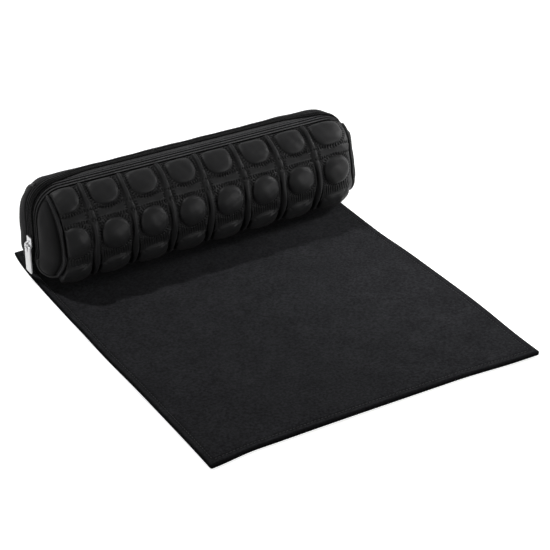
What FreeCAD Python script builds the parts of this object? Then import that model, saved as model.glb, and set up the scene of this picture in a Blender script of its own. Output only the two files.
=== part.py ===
"""Zipped quilted leather roll case lying on its sewn mat. Millimetres.

The origin is on the mat's underside, below the middle of the case's length and half way along the mat's
depth. X runs along the case, Y from the front of the mat to the case at its back, Z up. The case is a set
of layers, each one lying between two parallel forms: leather skin, padding and lining. The zip's middle
plane splits them into a rear half on the base and a front flap that turns on the round piping along the
foot of the quilted panel.
"""
import FreeCAD
import Part
import Sketcher

import math
import os

V = FreeCAD.Vector
doc = FreeCAD.newDocument("roll_case")

# Quilt columns along the case, and flats that stand for the rounding of its ends.
COLUMNS = 8
END_STEPS = 3

# Driving dimensions.
SIZES = [
    ("mat_trim", 8, "mat narrower than the case is long"),
    ("mat_shift", 4, "mat sewn on to the left of the case's middle"),
    ("mat_depth", 396, "mat, along Y"),
    ("mat_corner", 3, "mat corner radius"),
    ("mat_face_thick", 1.0, "woven face of the mat"),
    ("mat_core_thick", 1.4, "felt core of the mat"),
    ("mat_back_thick", 0.8, "backing of the mat"),
    ("mat_core_inset", 0.6, "core held back from the mat's edge"),
    ("anchor_thick", 0.8, "sewn strip between mat and case"),
    ("anchor_width", 28, "sewn strip, along Y"),
    ("anchor_trim", 68, "sewn strip shorter than the case"),
    ("case_back", 50.5, "zip plane from the mat's back edge"),
    ("case_length", 338, "case over its leather ends"),
    ("belly_radius", 50, "upper arc of the section"),
    ("foot_radius", 30, "lower arcs of the section"),
    ("foot_spread", 0.8, "half width of the flat bottom against the step between the two radii"),
    ("end_round", 27, "rounding of the case ends"),
    ("skin_thick", 1.0, "leather and zip tape"),
    ("pad_thick", 5.0, "foam padding"),
    ("end_wall", 7, "padded ends start inside the end piping by this"),
    ("pocket_inset", 11.5, "pocket in a padded end, in from the hollow"),
    ("lining_thick", 0.8, "fabric lining"),
    ("board_thick", 1.6, "stiffening board in the base"),
    ("lay_gap", 0.1, "gap between sewn layers"),
    ("hinge_rise", 7.2, "hinge line above the case's underside"),
    ("hinge_cord", 1.4, "radius of the piping on the hinge line"),
    ("move_gap", 0.3, "gap between parts that move apart"),
    ("seam_in", 12, "end piping plane from the case's end, along X"),
    ("end_cord", 1.5, "radius of the end piping"),
    ("cord_lift", 0.3, "end piping stands off the seam"),
    ("tape_reach", 12.5, "outer edge of each zip tape from the zip plane"),
    ("seam_gap", 0.3, "tape edge to leather edge"),
    ("coil_reach", 3.0, "outer edge of each zip coil"),
    ("coil_slit", 0.6, "half of the slit between the coils"),
    ("coil_height", 1.5, "coil above the tape"),
    ("coil_foot", 20, "lower end of the coil above the case's underside"),
    ("stop_height", 2.3, "zip stop along the tape"),
    ("stop_lip", 0.4, "zip stop past the coil"),
    ("wall_slot", 6.0, "padding edge from the zip plane"),
    ("dome_half", 14.5, "half width of a quilt dome"),
    ("dome_rise", 3.5, "height of a quilt dome"),
    ("dome_edge", 1.3, "height of a dome's steep side"),
    ("dome_root", 3.2, "dome's side carried under the leather"),
    ("dome_draw", 0.35, "slope of a dome's side"),
    ("dome_top", 6, "half width of a dome's crown"),
    ("dome_corner", 1.1, "a dome across its cut corners against its width"),
    ("row_top", 57, "upper quilt row, degrees above level"),
    ("row_step", 43, "angle between quilt rows"),
    ("edge_tilt", 15, "tilt of the end columns, degrees"),
    ("edge_shift", 1.5, "end columns drawn in along X"),
    ("edge_sink", 1.2, "end columns drawn in along the radius"),
    ("rib_width", 9, "ribs between the columns"),
    ("rib_rise", 2.4, "height of a rib"),
    ("rib_root", 0.4, "rib's foot under the leather"),
    ("rib_top", 74, "upper end of the ribs, degrees above level"),
    ("rib_span", 110, "angle that the ribs run over"),
    ("band_width", 6.5, "bands between the rows"),
    ("band_rise", 1.5, "height of a band"),
    ("slider_foot", 29, "lower end of the slider above the case's underside"),
    ("slider_length", 13, "slider along the zip"),
    ("slider_width", 9.2, "slider across the zip"),
    ("slider_plate", 2.2, "outer plate of the slider"),
    ("slider_inner", 1.0, "inner plate of the slider"),
    ("slider_clear", 0.4, "plate to coil, and plate to tape"),
    ("slider_edge", 0.8, "rounding of the slider's outer plate"),
    ("slider_nose", 4, "tapered length of the slider"),
    ("slider_taper", 0.62, "nose width against the slider's width"),
    ("inner_clear", 1.8, "inner plate to tape"),
    ("inner_trim", 0.6, "inner plate narrower than the outer"),
    ("post_low", 0.8, "slider's lower end to the post"),
    ("post_length", 2.6, "post along the zip"),
    ("post_bite", 0.2, "post let into the plates"),
    ("bail_rise", 5, "bail's middle above the slider's lower end"),
    ("post_thick", 0.6, "slider post in the slit"),
    ("bail_outer", 4.2, "outer radius of the bail"),
    ("bail_bar", 1.2, "thickness of the bail"),
    ("bail_width", 2.2, "bail across the zip"),
    ("pull_length", 28, "cross bar to the foot of the puller"),
    ("pull_width", 12, "puller across"),
    ("pull_thick", 1.4, "puller plate"),
    ("pull_bar", 0.75, "radius of the puller's cross bar"),
    ("pull_bite", 0.3, "plate runs into the cross bar"),
    ("pull_clear", 0.6, "cross bar to the slider's plate"),
    ("pull_drop", 1.2, "cross bar below the bail's middle"),
    ("pull_corner", 1.6, "rounding of the puller's foot"),
    ("pull_slot", 5.6, "foot of the slot below the cross bar"),
    ("pull_slot_half", 1.7, "half width of the slot"),
]
DERIVED = [
    ("mat_width", "=case_length - mat_trim"),
    ("anchor_length", "=case_length - anchor_trim"),
    ("case_mid", "=mat_depth / 2 - case_back"),
    ("case_floor", "=mat_face_thick + mat_core_thick + mat_back_thick + anchor_thick"),
    ("foot_half", "=(belly_radius - foot_radius) * foot_spread"),
    ("seam_reach", "=case_length / 2 - seam_in"),
    ("dome_pitch", "=(case_length - 2 * end_round) / %d" % (COLUMNS - 1)),
    ("belly_level", "=case_floor + foot_radius + sqrt((belly_radius - foot_radius)^2 - foot_half^2)"),
    ("hinge_level", "=case_floor + hinge_rise"),
    ("hinge_out", "=foot_half + sqrt(foot_radius^2 - (foot_radius - hinge_rise)^2)"),
    ("pad_in", "=skin_thick + lay_gap"),
    ("pad_out", "=pad_in + pad_thick"),
    ("lining_in", "=pad_out + lay_gap"),
    ("lining_out", "=lining_in + lining_thick"),
    ("end_drop", "=end_round - sqrt(end_round^2 - (end_round - case_length / 2 + seam_reach)^2)"),
    ("plate_face", "=case_length / 2 + lay_gap + coil_height + slider_clear"),
    ("bail_face", "=plate_face + slider_plate"),
    ("bail_level", "=case_floor + slider_foot + bail_rise"),
    ("pull_out", "=bail_face + pull_bar + pull_clear"),
    ("pull_level", "=bail_level - pull_drop"),
]

sheet = doc.addObject("Spreadsheet::Sheet", "Sizes")
for row, (alias, value, note) in enumerate(SIZES, start=1):
    sheet.set("A%d" % row, alias)
    sheet.set("B%d" % row, str(value))
    sheet.set("C%d" % row, note)
    sheet.setAlias("B%d" % row, alias)
for row, (alias, formula) in enumerate(DERIVED, start=len(SIZES) + 1):
    sheet.set("A%d" % row, alias)
    sheet.set("B%d" % row, formula)
    sheet.setAlias("B%d" % row, alias)
workings = doc.addObject("Spreadsheet::Sheet", "Workings")
doc.recompute()


def size(alias):
    """The value of one sheet cell."""
    return float(getattr(sheet, alias))


def bind(obj, **formulas):
    """Tie properties of an object to sheet formulas; a double underscore stands for a dot."""
    for prop, formula in formulas.items():
        obj.setExpression(prop.replace("__", "."), formula)


def cells(formula):
    """A formula in alias words, written with the sheet's name in front of every alias."""
    words = [alias for alias, _, _ in SIZES] + [alias for alias, _ in DERIVED]
    out = []
    word = ""
    for letter in formula + " ":
        if letter.isalnum() or letter == "_":
            word += letter
            continue
        out.append("Sizes." + word if word in words else word)
        out.append(letter)
        word = ""
    return "".join(out).strip()


def plane(body, role):
    """One of a body's own origin planes or axes."""
    return [item for item in body.Origin.OriginFeatures if item.Role == role][0]


def sketch_on(body, name, role):
    """An empty sketch on one of a body's origin planes."""
    sketch = body.newObject("Sketcher::SketchObject", name)
    sketch.AttachmentSupport = [(plane(body, role), "")]
    sketch.MapMode = "FlatFace"
    return sketch


def constrain(sketch, formula, *args):
    """A sketch dimension tied to a sheet formula."""
    index = sketch.addConstraint(Sketcher.Constraint(*args))
    sketch.setExpression("Constraints[%d]" % index, cells(formula))
    return index


def tie(sketch, *args):
    """A sketch constraint with no dimension."""
    sketch.addConstraint(Sketcher.Constraint(*args))


def section_sketch(body, name, inset, station):
    """The case's cross section at one place along X, drawn parallel to the leather at an inset."""
    depth = size_of(inset)
    mid, foot, floor = size("case_mid"), size("foot_half"), size("case_floor")
    low, high, level = size("foot_radius"), size("belly_radius"), size("belly_level")
    turn = math.atan2(level - floor - low, foot)
    sketch = sketch_on(body, name, "YZ_Plane")
    sketch.setExpression("AttachmentOffset.Base.z", cells(station))
    right = Part.Circle(V(mid + foot, floor + low, 0), V(0, 0, 1), low - depth)
    crown = Part.Circle(V(mid, level, 0), V(0, 0, 1), high - depth)
    left = Part.Circle(V(mid - foot, floor + low, 0), V(0, 0, 1), low - depth)
    base = Part.LineSegment(V(mid - foot, floor + depth, 0), V(mid + foot, floor + depth, 0))
    sketch.addGeometry([
        base,
        Part.ArcOfCircle(right, -math.pi / 2, -turn),
        Part.ArcOfCircle(crown, -turn, math.pi + turn),
        Part.ArcOfCircle(left, math.pi + turn, 3 * math.pi / 2)])
    sketch.addConstraint([
        Sketcher.Constraint("Horizontal", 0),
        Sketcher.Constraint("Tangent", 0, 2, 1, 1),
        Sketcher.Constraint("Tangent", 1, 2, 2, 1),
        Sketcher.Constraint("Tangent", 2, 2, 3, 1),
        Sketcher.Constraint("Tangent", 3, 2, 0, 1)])
    constrain(sketch, "foot_radius - (%s)" % inset, "Radius", 1, low - depth)
    constrain(sketch, "foot_radius - (%s)" % inset, "Radius", 3, low - depth)
    constrain(sketch, "belly_radius - (%s)" % inset, "Radius", 2, high - depth)
    constrain(sketch, "case_floor + (%s)" % inset, "DistanceY", -1, 1, 0, 1, floor + depth)
    constrain(sketch, "case_mid + foot_half", "DistanceX", -1, 1, 1, 3, mid + foot)
    constrain(sketch, "case_mid - foot_half", "DistanceX", -1, 1, 3, 3, mid - foot)
    return sketch


def size_of(formula):
    """The value of a formula in alias words, worked out in a second sheet."""
    workings.set("A1", "=" + cells(formula))
    workings.recompute()
    return float(workings.get("A1"))


def form(name, inset):
    """The whole case form at an inset: a loft through sections that draw in round the ends."""
    body = doc.addObject("PartDesign::Body", name)
    bend = "(end_round - (%s))" % inset
    start = "(case_length / 2 - end_round)"
    places = []
    for index in range(END_STEPS + 1):
        angle = "%s deg" % (90.0 * index / END_STEPS)
        station = "%s + %s * sin(%s)" % (start, bend, angle)
        drawn_in = "(%s) + %s * (1 - cos(%s))" % (inset, bend, angle)
        places.append((station, drawn_in))
    stations = [("-(%s)" % station, drawn_in) for station, drawn_in in reversed(places)] + places
    sketches = []
    for index, (station, drawn_in) in enumerate(stations):
        sketches.append(section_sketch(body, "%s_section_%d" % (name, index), drawn_in, station))
    doc.recompute()
    loft = body.newObject("PartDesign::AdditiveLoft", name + "_loft")
    loft.Profile = sketches[0]
    loft.Sections = sketches[1:]
    loft.Ruled = True
    return body


def block(name, low, high):
    """A box between two corners given as three formulas each."""
    box = doc.addObject("Part::Box", name)
    bind(box, Length=cells("(%s) - (%s)" % (high[0], low[0])))
    bind(box, Width=cells("(%s) - (%s)" % (high[1], low[1])))
    bind(box, Height=cells("(%s) - (%s)" % (high[2], low[2])))
    bind(box, Placement__Base__x=cells(low[0]))
    bind(box, Placement__Base__y=cells(low[1]))
    bind(box, Placement__Base__z=cells(low[2]))
    return box


def rod(name, radius, length, x, y, z, axis):
    """A cylinder centred on a point, along X or Y."""
    bar = doc.addObject("Part::Cylinder", name)
    bind(bar, Radius=cells(radius), Height=cells(length))
    if axis == "X":
        bar.Placement.Rotation = FreeCAD.Rotation(V(0, 1, 0), 90)
        start = [cells("(%s) - (%s) / 2" % (x, length)), cells(y), cells(z)]
    else:
        bar.Placement.Rotation = FreeCAD.Rotation(V(1, 0, 0), -90)
        start = [cells(x), cells("(%s) - (%s) / 2" % (y, length)), cells(z)]
    bind(bar, Placement__Base__x=start[0], Placement__Base__y=start[1], Placement__Base__z=start[2])
    return bar


def cut(name, base, tool):
    """One object less another."""
    made = doc.addObject("Part::Cut", name)
    made.Base = base
    made.Tool = tool
    return made


def meet(name, base, tool):
    """What two objects share."""
    made = doc.addObject("Part::Common", name)
    made.Base = base
    made.Tool = tool
    return made


def join(name, *shapes):
    """Several objects fused into one."""
    made = doc.addObject("Part::MultiFuse", name)
    made.Shapes = list(shapes)
    made.Refine = True
    return made


NODES = []


def node(name, obj):
    """Give an object its node name."""
    obj.Label = name
    NODES.append((name, obj))
    return obj


# The mat: three flat layers with rounded corners and the strip sewn under the case.
def mat_layer(name, floor, thick, inset):
    """One layer of the mat."""
    body = doc.addObject("PartDesign::Body", name + "_body")
    sketch = sketch_on(body, name + "_outline", "XY_Plane")
    half_x = size_of("mat_width / 2 - (%s)" % inset)
    half_y = size_of("mat_depth / 2 - (%s)" % inset)
    corners = [V(-half_x, -half_y, 0), V(half_x, -half_y, 0), V(half_x, half_y, 0), V(-half_x, half_y, 0)]
    for index in range(4):
        sketch.addGeometry(Part.LineSegment(corners[index], corners[(index + 1) % 4]))
    for index in range(4):
        tie(sketch, "Coincident", index, 2, (index + 1) % 4, 1)
    tie(sketch, "Horizontal", 0)
    tie(sketch, "Vertical", 1)
    tie(sketch, "Horizontal", 2)
    tie(sketch, "Vertical", 3)
    tie(sketch, "Symmetric", 0, 1, 1, 2, -1, 1)
    constrain(sketch, "mat_width - 2 * (%s)" % inset, "DistanceX", 0, 1, 0, 2, 2 * half_x)
    constrain(sketch, "mat_depth - 2 * (%s)" % inset, "DistanceY", 1, 1, 1, 2, 2 * half_y)
    sketch.setExpression("AttachmentOffset.Base.x", cells("-mat_shift"))
    sketch.setExpression("AttachmentOffset.Base.z", cells(floor))
    doc.recompute()
    pad = body.newObject("PartDesign::Pad", name + "_pad")
    pad.Profile = sketch
    bind(pad, Length=cells(thick))
    doc.recompute()
    posts = []
    for index, edge in enumerate(pad.Shape.Edges, start=1):
        first, last = edge.Vertexes[0].Point, edge.Vertexes[-1].Point
        if abs(first.z - last.z) > 0.1:
            posts.append("Edge%d" % index)
    corner = body.newObject("PartDesign::Fillet", name + "_corners")
    corner.Base = (pad, posts)
    bind(corner, Radius=cells("mat_corner"))
    doc.recompute()
    return node(name, body)


mat_layer("mat_backing", "0", "mat_back_thick", "0")
mat_layer("mat_core", "mat_back_thick", "mat_core_thick", "mat_core_inset")
mat_layer("mat_face", "mat_back_thick + mat_core_thick", "mat_face_thick", "0")
node("mat_anchor_strip", block(
    "AnchorStrip",
    ("-anchor_length / 2", "case_mid - anchor_width / 2", "case_floor - anchor_thick"),
    ("anchor_length / 2", "case_mid + anchor_width / 2", "case_floor")))


def drum(name, inset, half):
    """A straight length of the case's section at an inset."""
    body = doc.addObject("PartDesign::Body", name)
    sketch = section_sketch(body, name + "_section", inset, "0")
    doc.recompute()
    pad = body.newObject("PartDesign::Pad", name + "_pad")
    pad.Profile = sketch
    pad.SideType = "Symmetric"
    bind(pad, Length=cells("2 * (%s)" % half))
    return body


# Parallel forms of the case, from the zip coil's outer face to the padding's outer face.
form_coil = form("FormCoil", "-lay_gap - coil_height")
form_tape = form("FormTape", "-lay_gap")
form_skin = form("FormSkin", "0")
form_back = form("FormBack", "skin_thick")
form_pad = form("FormPad", "pad_in")

# The straight hollow inside the padding, and a pocket in each padded end.
long_half = "seam_reach - end_wall"
drum_pad = drum("DrumPad", "pad_out", long_half)
drum_lining = drum("DrumLining", "lining_in", long_half + " - lay_gap")
drum_cavity = drum("DrumCavity", "lining_out", "case_length")
drum_pocket = drum("DrumPocket", "pad_out + pocket_inset", "case_length / 2 - pad_out")
doc.recompute()

skin_shell = cut("SkinShell", form_skin, form_back)
coil_shell = cut("CoilShell", form_coil, form_tape)
pad_shell = cut("PadShell", form_pad, drum_pad)
end_shell = cut("EndShell", form_pad, drum_pocket)
lining_shell = cut("LiningShell", drum_lining, drum_cavity)

# Round piping on the front and rear foot lines; the front one lies on the hinge axis.
straight = "case_length - 2 * end_round - 2"
hinge_piping = node("hinge_piping", rod(
    "HingePiping", "hinge_cord", straight, "0", "case_mid - hinge_out", "hinge_level", "X"))
rear_base_piping = node("rear_base_piping", rod(
    "RearBasePiping", "hinge_cord", straight, "0", "case_mid + hinge_out", "hinge_level", "X"))
hinge_room = rod("HingeRoom", "hinge_cord + move_gap", "case_length", "0",
                 "case_mid - hinge_out", "hinge_level", "X")
base_room = join("BaseRoom", rod("BaseRoomFront", "hinge_cord + lay_gap", straight + " + 2 * lay_gap", "0",
                                 "case_mid - hinge_out", "hinge_level", "X"),
                 rod("BaseRoomRear", "hinge_cord + lay_gap", straight + " + 2 * lay_gap", "0",
                     "case_mid + hinge_out", "hinge_level", "X"))

# The base: leather tray, board, padding and lining under the hollow.
wide = "case_length"
base_slab = block("BaseSlab", ("-" + wide, "case_mid - " + wide, "case_floor - 1"),
                  (wide, "case_mid + " + wide, "hinge_level - move_gap / 2"))
node("base_panel", cut("BasePanel", meet("BaseTray", skin_shell, base_slab), base_room))


def base_layer(name, key, reach_x, reach_y, low, high):
    """A flat layer of the base, shaped to the leather tray under it."""
    slab = block(key + "Slab", ("-(%s)" % reach_x, "case_mid - (%s)" % reach_y, low),
                 (reach_x, "case_mid + (%s)" % reach_y, high))
    return node(name, cut(key, meet(key + "Fit", form_pad, slab), base_room))


layer_x = "case_length / 2 - end_round"
base_layer("base_board", "BaseBoard", layer_x, "foot_half + 8",
           "case_floor + pad_in", "case_floor + pad_in + board_thick")
base_layer("base_padding", "BasePadding", layer_x + " + 4", "foot_half + 11",
           "case_floor + pad_in + board_thick + lay_gap", "case_floor + pad_out")
base_layer("base_lining", "BaseLining", layer_x + " + 8", "foot_half + 12",
           "case_floor + lining_in", "hinge_level - move_gap / 2 - lay_gap")


def region(key, side, near, x_low, x_high, low):
    """A box over one half of the case: from a distance off the zip plane outwards, above a level."""
    if side == "front":
        return block(key, (x_low, "case_mid - " + wide, low), (x_high, "case_mid - (%s)" % near, wide))
    return block(key, (x_low, "case_mid + (%s)" % near, low), (x_high, "case_mid + " + wide, wide))


def cord_span(key, side, sign, mid, level, radius, start, stop):
    """One arc of an end piping: a cord profile turned about an axis along X."""
    body = doc.addObject("PartDesign::Body", key)
    sketch = sketch_on(body, key + "_profile", "XY_Plane")
    front = side == "front"
    turn = -stop if front else start
    sketch.AttachmentOffset = FreeCAD.Placement(V(0, 0, 0), FreeCAD.Rotation(V(1, 0, 0), turn))
    sketch.setExpression("AttachmentOffset.Base.y", cells(mid))
    sketch.setExpression("AttachmentOffset.Base.z", cells(level))
    across = "-(%s)" % radius if front else radius
    x, y, cord = sign * size("seam_reach"), size_of(across), size("end_cord")
    corners = []
    for index in range(6):
        angle = index * math.pi / 3
        corners.append(V(x + cord * math.cos(angle), y + cord * math.sin(angle), 0))
    sketch.addGeometry([Part.LineSegment(corners[index], corners[(index + 1) % 6]) for index in range(6)])
    sketch.addGeometry(Part.Circle(V(x, y, 0), V(0, 0, 1), cord), True)
    rules = [Sketcher.Constraint("Coincident", index, 2, (index + 1) % 6, 1) for index in range(6)]
    rules += [Sketcher.Constraint("PointOnObject", index, 1, 6) for index in range(6)]
    rules += [Sketcher.Constraint("Equal", index, index + 1) for index in range(5)]
    rules.append(Sketcher.Constraint("Horizontal", 1))
    sketch.addConstraint(rules)
    constrain(sketch, "end_cord", "Radius", 6, cord)
    constrain(sketch, "%d * seam_reach" % sign, "DistanceX", -1, 1, 6, 3, x)
    constrain(sketch, across, "DistanceY", -1, 1, 6, 3, y)
    doc.recompute()
    arc = body.newObject("PartDesign::Revolution", key + "_arc")
    arc.Profile = sketch
    arc.ReferenceAxis = (sketch, ["H_Axis"])
    arc.Angle = stop - start
    return body


def cord_ring(key, side, end):
    """End piping along the seam between the end panel and the long panel."""
    sign = -1 if end == "left" else 1
    meet_angle = math.degrees(math.atan2(size_of("belly_level - case_floor - foot_radius"), size("foot_half")))
    seam = size_of("tape_reach + seam_gap + end_cord")
    top_angle = math.degrees(math.acos(seam / size_of("belly_radius - end_drop + cord_lift")))
    drop = size_of("foot_radius - hinge_rise - end_cord - move_gap")
    low_angle = math.degrees(math.asin(drop / size_of("foot_radius - end_drop + cord_lift")))
    outer_mid = "case_mid - foot_half" if side == "front" else "case_mid + foot_half"
    crown = cord_span(key + "Crown", side, sign, "case_mid", "belly_level",
                      "belly_radius - end_drop + cord_lift", -meet_angle, top_angle)
    foot = cord_span(key + "Foot", side, sign, outer_mid, "case_floor + foot_radius",
                     "foot_radius - end_drop + cord_lift", -low_angle, -meet_angle)
    return join(key, crown, foot)


panel_end = "seam_reach - end_cord - lay_gap"
end_start = "seam_reach + end_cord + lay_gap"
seam = "tape_reach + seam_gap"
rear_low = "hinge_level + lay_gap"
front_low = "hinge_level + move_gap / 2"


def both_ends(key, shell, side, near, start, low):
    """A piece at each end of one half of the case, cut from one shell beyond a place along X."""
    left = meet(key + "Left", shell, region(key + "LeftRegion", side, near, "-" + wide, "-(%s)" % start, low))
    right = meet(key + "Right", shell, region(key + "RightRegion", side, near, start, wide, low))
    return join(key, left, right)


def half_shell(key, shell, side, near, reach, low):
    """The long piece of one half of the case, cut from one shell."""
    return meet(key, shell, region(key + "Region", side, near, "-(%s)" % reach, reach, low))


def half_case(side, low, room):
    """Padding, lining, ends and piping of one half; room is what the foot piping takes up."""
    title = side.capitalize()
    node(side + "_padding", cut(title + "Padding", half_shell(
        title + "PaddingFit", pad_shell, side, "wall_slot", long_half, low), room))
    node(side + "_end_padding", both_ends(
        title + "EndPadding", end_shell, side, "wall_slot", long_half + " + lay_gap", low))
    node(side + "_lining", cut(title + "Lining", half_shell(
        title + "LiningFit", lining_shell, side, "wall_slot", long_half, low), room))
    node(side + "_end_panels", both_ends(title + "EndPanels", skin_shell, side, seam, end_start, low))
    node(side + "_end_piping", join(
        title + "EndPiping", cord_ring(title + "PipingLeft", side, "left"),
        cord_ring(title + "PipingRight", side, "right")))


# The rear half, fixed to the base, has a plain panel.
half_case("rear", rear_low, base_room)
node("rear_panel", cut("RearPanel", half_shell(
    "RearPanelFit", skin_shell, "rear", seam, panel_end, rear_low), base_room))

# The quilted front panel: domes, ribs between the columns, bands between the rows.
quilt = [skin_shell]


def frustum(key, place, first, last, height, scale):
    """A four-sided tapered block on a place; its sides may be scaled out."""
    piece = doc.addObject("Part::Wedge", key)
    wide_end, narrow_end = cells("(%s) * %s" % (first, scale)), cells("(%s) * %s" % (last, scale))
    bind(piece, Xmin="-(%s)" % wide_end, Xmax=wide_end, Zmin="-(%s)" % wide_end, Zmax=wide_end)
    bind(piece, X2min="-(%s)" % narrow_end, X2max=narrow_end, Z2min="-(%s)" % narrow_end, Z2max=narrow_end)
    bind(piece, Ymin="0", Ymax=cells(height))
    piece.Placement = place
    return piece


def dome(key, x, row_angle, tilt):
    """One quilt dome: a drawn-in side and a crown with cut corners, square to the leather under it."""
    rise = math.radians(row_angle)
    turn = FreeCAD.Rotation(V(1, 0, 0), 180 - row_angle).multiply(FreeCAD.Rotation(V(0, 0, 1), -tilt))
    reach = size("belly_radius") - (size("edge_sink") if tilt else 0)
    spot = V(x, size("case_mid") - reach * math.cos(rise), size("belly_level") + reach * math.sin(rise))
    out = turn.multVec(V(0, 1, 0))
    cross = turn.multiply(FreeCAD.Rotation(V(0, 1, 0), 45))
    edge = "dome_half - dome_edge * dome_draw"
    parts = []
    for tag, start, height, first, last in (
            ("Side", -size("dome_root"), "dome_root + dome_edge", "dome_half + dome_root * dome_draw", edge),
            ("Crown", size("dome_edge"), "dome_rise - dome_edge", edge, "dome_top")):
        foot = spot + out * start
        square = frustum(key + tag + "Square", FreeCAD.Placement(foot, turn), first, last, height, "1")
        corner = frustum(key + tag + "Corner", FreeCAD.Placement(foot, cross), first, last, height, "dome_corner")
        parts.append(meet(key + tag, square, corner))
    return parts


for row in range(3):
    row_angle = size("row_top") - row * size("row_step")
    for column in range(COLUMNS):
        x = (column - (COLUMNS - 1) / 2) * size("dome_pitch")
        tilt = 0
        if column in (0, COLUMNS - 1):
            tilt = math.copysign(size("edge_tilt"), x)
            x -= math.copysign(size("edge_shift"), x)
        quilt += dome("Dome%d%d" % (row, column), x, row_angle, tilt)

for index in range(COLUMNS - 1):
    # A rib is a sector about the case's axis with two slopes.
    crest = "%d * dome_pitch" % (index - (COLUMNS - 2) // 2)
    slopes = (("Rise", "belly_radius - rib_root", "belly_radius + rib_rise", crest + " - rib_width / 2"),
              ("Fall", "belly_radius + rib_rise", "belly_radius - rib_root", crest))
    for tag, first, last, place in slopes:
        piece = doc.addObject("Part::Cone", "Rib%d%s" % (index, tag))
        bind(piece, Radius1=cells(first), Radius2=cells(last), Height=cells("rib_width / 2"))
        bind(piece, Angle=cells("rib_span * 1deg"))
        piece.Placement.Rotation = FreeCAD.Rotation(V(0, 1, 0), 90).multiply(
            FreeCAD.Rotation(V(0, 0, 1), 270 - size("rib_top")))
        bind(piece, Placement__Base__x=cells(place))
        bind(piece, Placement__Base__y=cells("case_mid"), Placement__Base__z=cells("belly_level"))
        quilt.append(piece)

for index in range(2):
    chord = "(band_width^2 / 4 + band_rise^2) / (2 * band_rise)"
    angle = "(row_top - %s * row_step)" % (index + 0.5)
    reach = "(belly_radius + band_rise - %s)" % chord
    quilt.append(rod("Band%d" % index, chord, "case_length - 2 * end_round", "0",
                     "case_mid - %s * cos(%s * 1deg)" % (reach, angle),
                     "belly_level + %s * sin(%s * 1deg)" % (reach, angle), "X"))

quilt_region = region("QuiltRegion", "front", seam, "-(%s)" % panel_end, panel_end, front_low)
quilt_whole = meet("QuiltWhole", join("QuiltJoin", *quilt), quilt_region)
node("front_quilted_panel", cut("FrontQuiltedPanel", cut("QuiltHollow", quilt_whole, form_back), hinge_room))

# The rest of the front flap.
half_case("front", front_low, hinge_room)


# The zip: two tapes, two coils, stops.
def zip_band(key, shell, side, near, far, low, high):
    """A ribbon of one shell beside the zip plane, above a level."""
    if side == "front":
        box = block(key + "Box", ("-" + wide, "case_mid - (%s)" % far, low),
                    (wide, "case_mid - (%s)" % near, high))
    else:
        box = block(key + "Box", ("-" + wide, "case_mid + (%s)" % near, low),
                    (wide, "case_mid + (%s)" % far, high))
    return meet(key, shell, box)


coil_low = "case_floor + coil_foot"
for side, low in (("rear", rear_low), ("front", front_low)):
    title = side.capitalize()
    node(side + "_zip_tape", zip_band(
        title + "Tape", skin_shell, side, "coil_slit", "tape_reach", low, wide))
    node(side + "_zip_coil", zip_band(
        title + "Coil", coil_shell, side, "coil_slit", "coil_reach", coil_low, wide))


def zip_stop(name, key, near, far, end):
    """A stop crimped on the tape just under the coil's lower end."""
    low = coil_low + " - lay_gap - stop_height"
    sides = ("-" + wide, "0") if end == "left" else ("0", wide)
    box = block(key + "Box", (sides[0], near, low), (sides[1], far, coil_low + " - lay_gap"))
    return node(name, meet(key, coil_shell, box))


stop_front = "case_mid - coil_reach - stop_lip"
stop_rear = "case_mid + coil_reach + stop_lip"
zip_stop("rear_zip_stop", "RearStop", "case_mid + coil_slit", stop_rear, "left")
zip_stop("front_zip_stop", "FrontStop", stop_front, "case_mid - coil_slit", "left")
zip_stop("zip_bottom_stop", "BottomStop", stop_front, stop_rear, "right")

# The slider on the left end: outer plate, inner plate and the post between the tapes.
slider_low = "case_floor + slider_foot"
slider_high = "case_floor + slider_foot + slider_length"


def slider_pad(body, key, x_far, thick, width):
    """A rounded plate across the zip, drawn in the YZ plane and padded outwards along X."""
    sketch = sketch_on(body, key + "_outline", "YZ_Plane")
    mid = size("case_mid")
    half = size_of(width) / 2
    low = size_of(slider_low)
    high = size_of(slider_high)
    nose = half * size("slider_taper")
    nose_length = size("slider_nose")
    points = [V(mid - nose, low, 0), V(mid + nose, low, 0), V(mid + half, low + nose_length, 0),
              V(mid + half, high, 0), V(mid - half, high, 0), V(mid - half, low + nose_length, 0)]
    for index in range(6):
        sketch.addGeometry(Part.LineSegment(points[index], points[(index + 1) % 6]))
    for index in range(6):
        tie(sketch, "Coincident", index, 2, (index + 1) % 6, 1)
    tie(sketch, "Horizontal", 0)
    tie(sketch, "Vertical", 2)
    tie(sketch, "Horizontal", 3)
    tie(sketch, "Vertical", 4)
    tie(sketch, "Equal", 2, 4)
    constrain(sketch, slider_low, "DistanceY", -1, 1, 0, 1, low)
    constrain(sketch, slider_high, "DistanceY", -1, 1, 3, 1, high)
    constrain(sketch, "case_mid - (%s) / 2" % width, "DistanceX", -1, 1, 4, 1, mid - half)
    constrain(sketch, width, "DistanceX", 4, 1, 2, 2, 2 * half)
    constrain(sketch, "slider_length - slider_nose", "DistanceY", 2, 1, 2, 2, high - low - nose_length)
    nose_wide = "(%s) * slider_taper" % width
    constrain(sketch, "case_mid - %s / 2" % nose_wide, "DistanceX", -1, 1, 0, 1, mid - nose)
    constrain(sketch, nose_wide, "DistanceX", 0, 1, 0, 2, 2 * nose)
    sketch.setExpression("AttachmentOffset.Base.z", cells("-(%s)" % x_far))
    doc.recompute()
    pad = body.newObject("PartDesign::Pad", key)
    pad.Profile = sketch
    bind(pad, Length=cells(thick))
    doc.recompute()
    return pad


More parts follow.
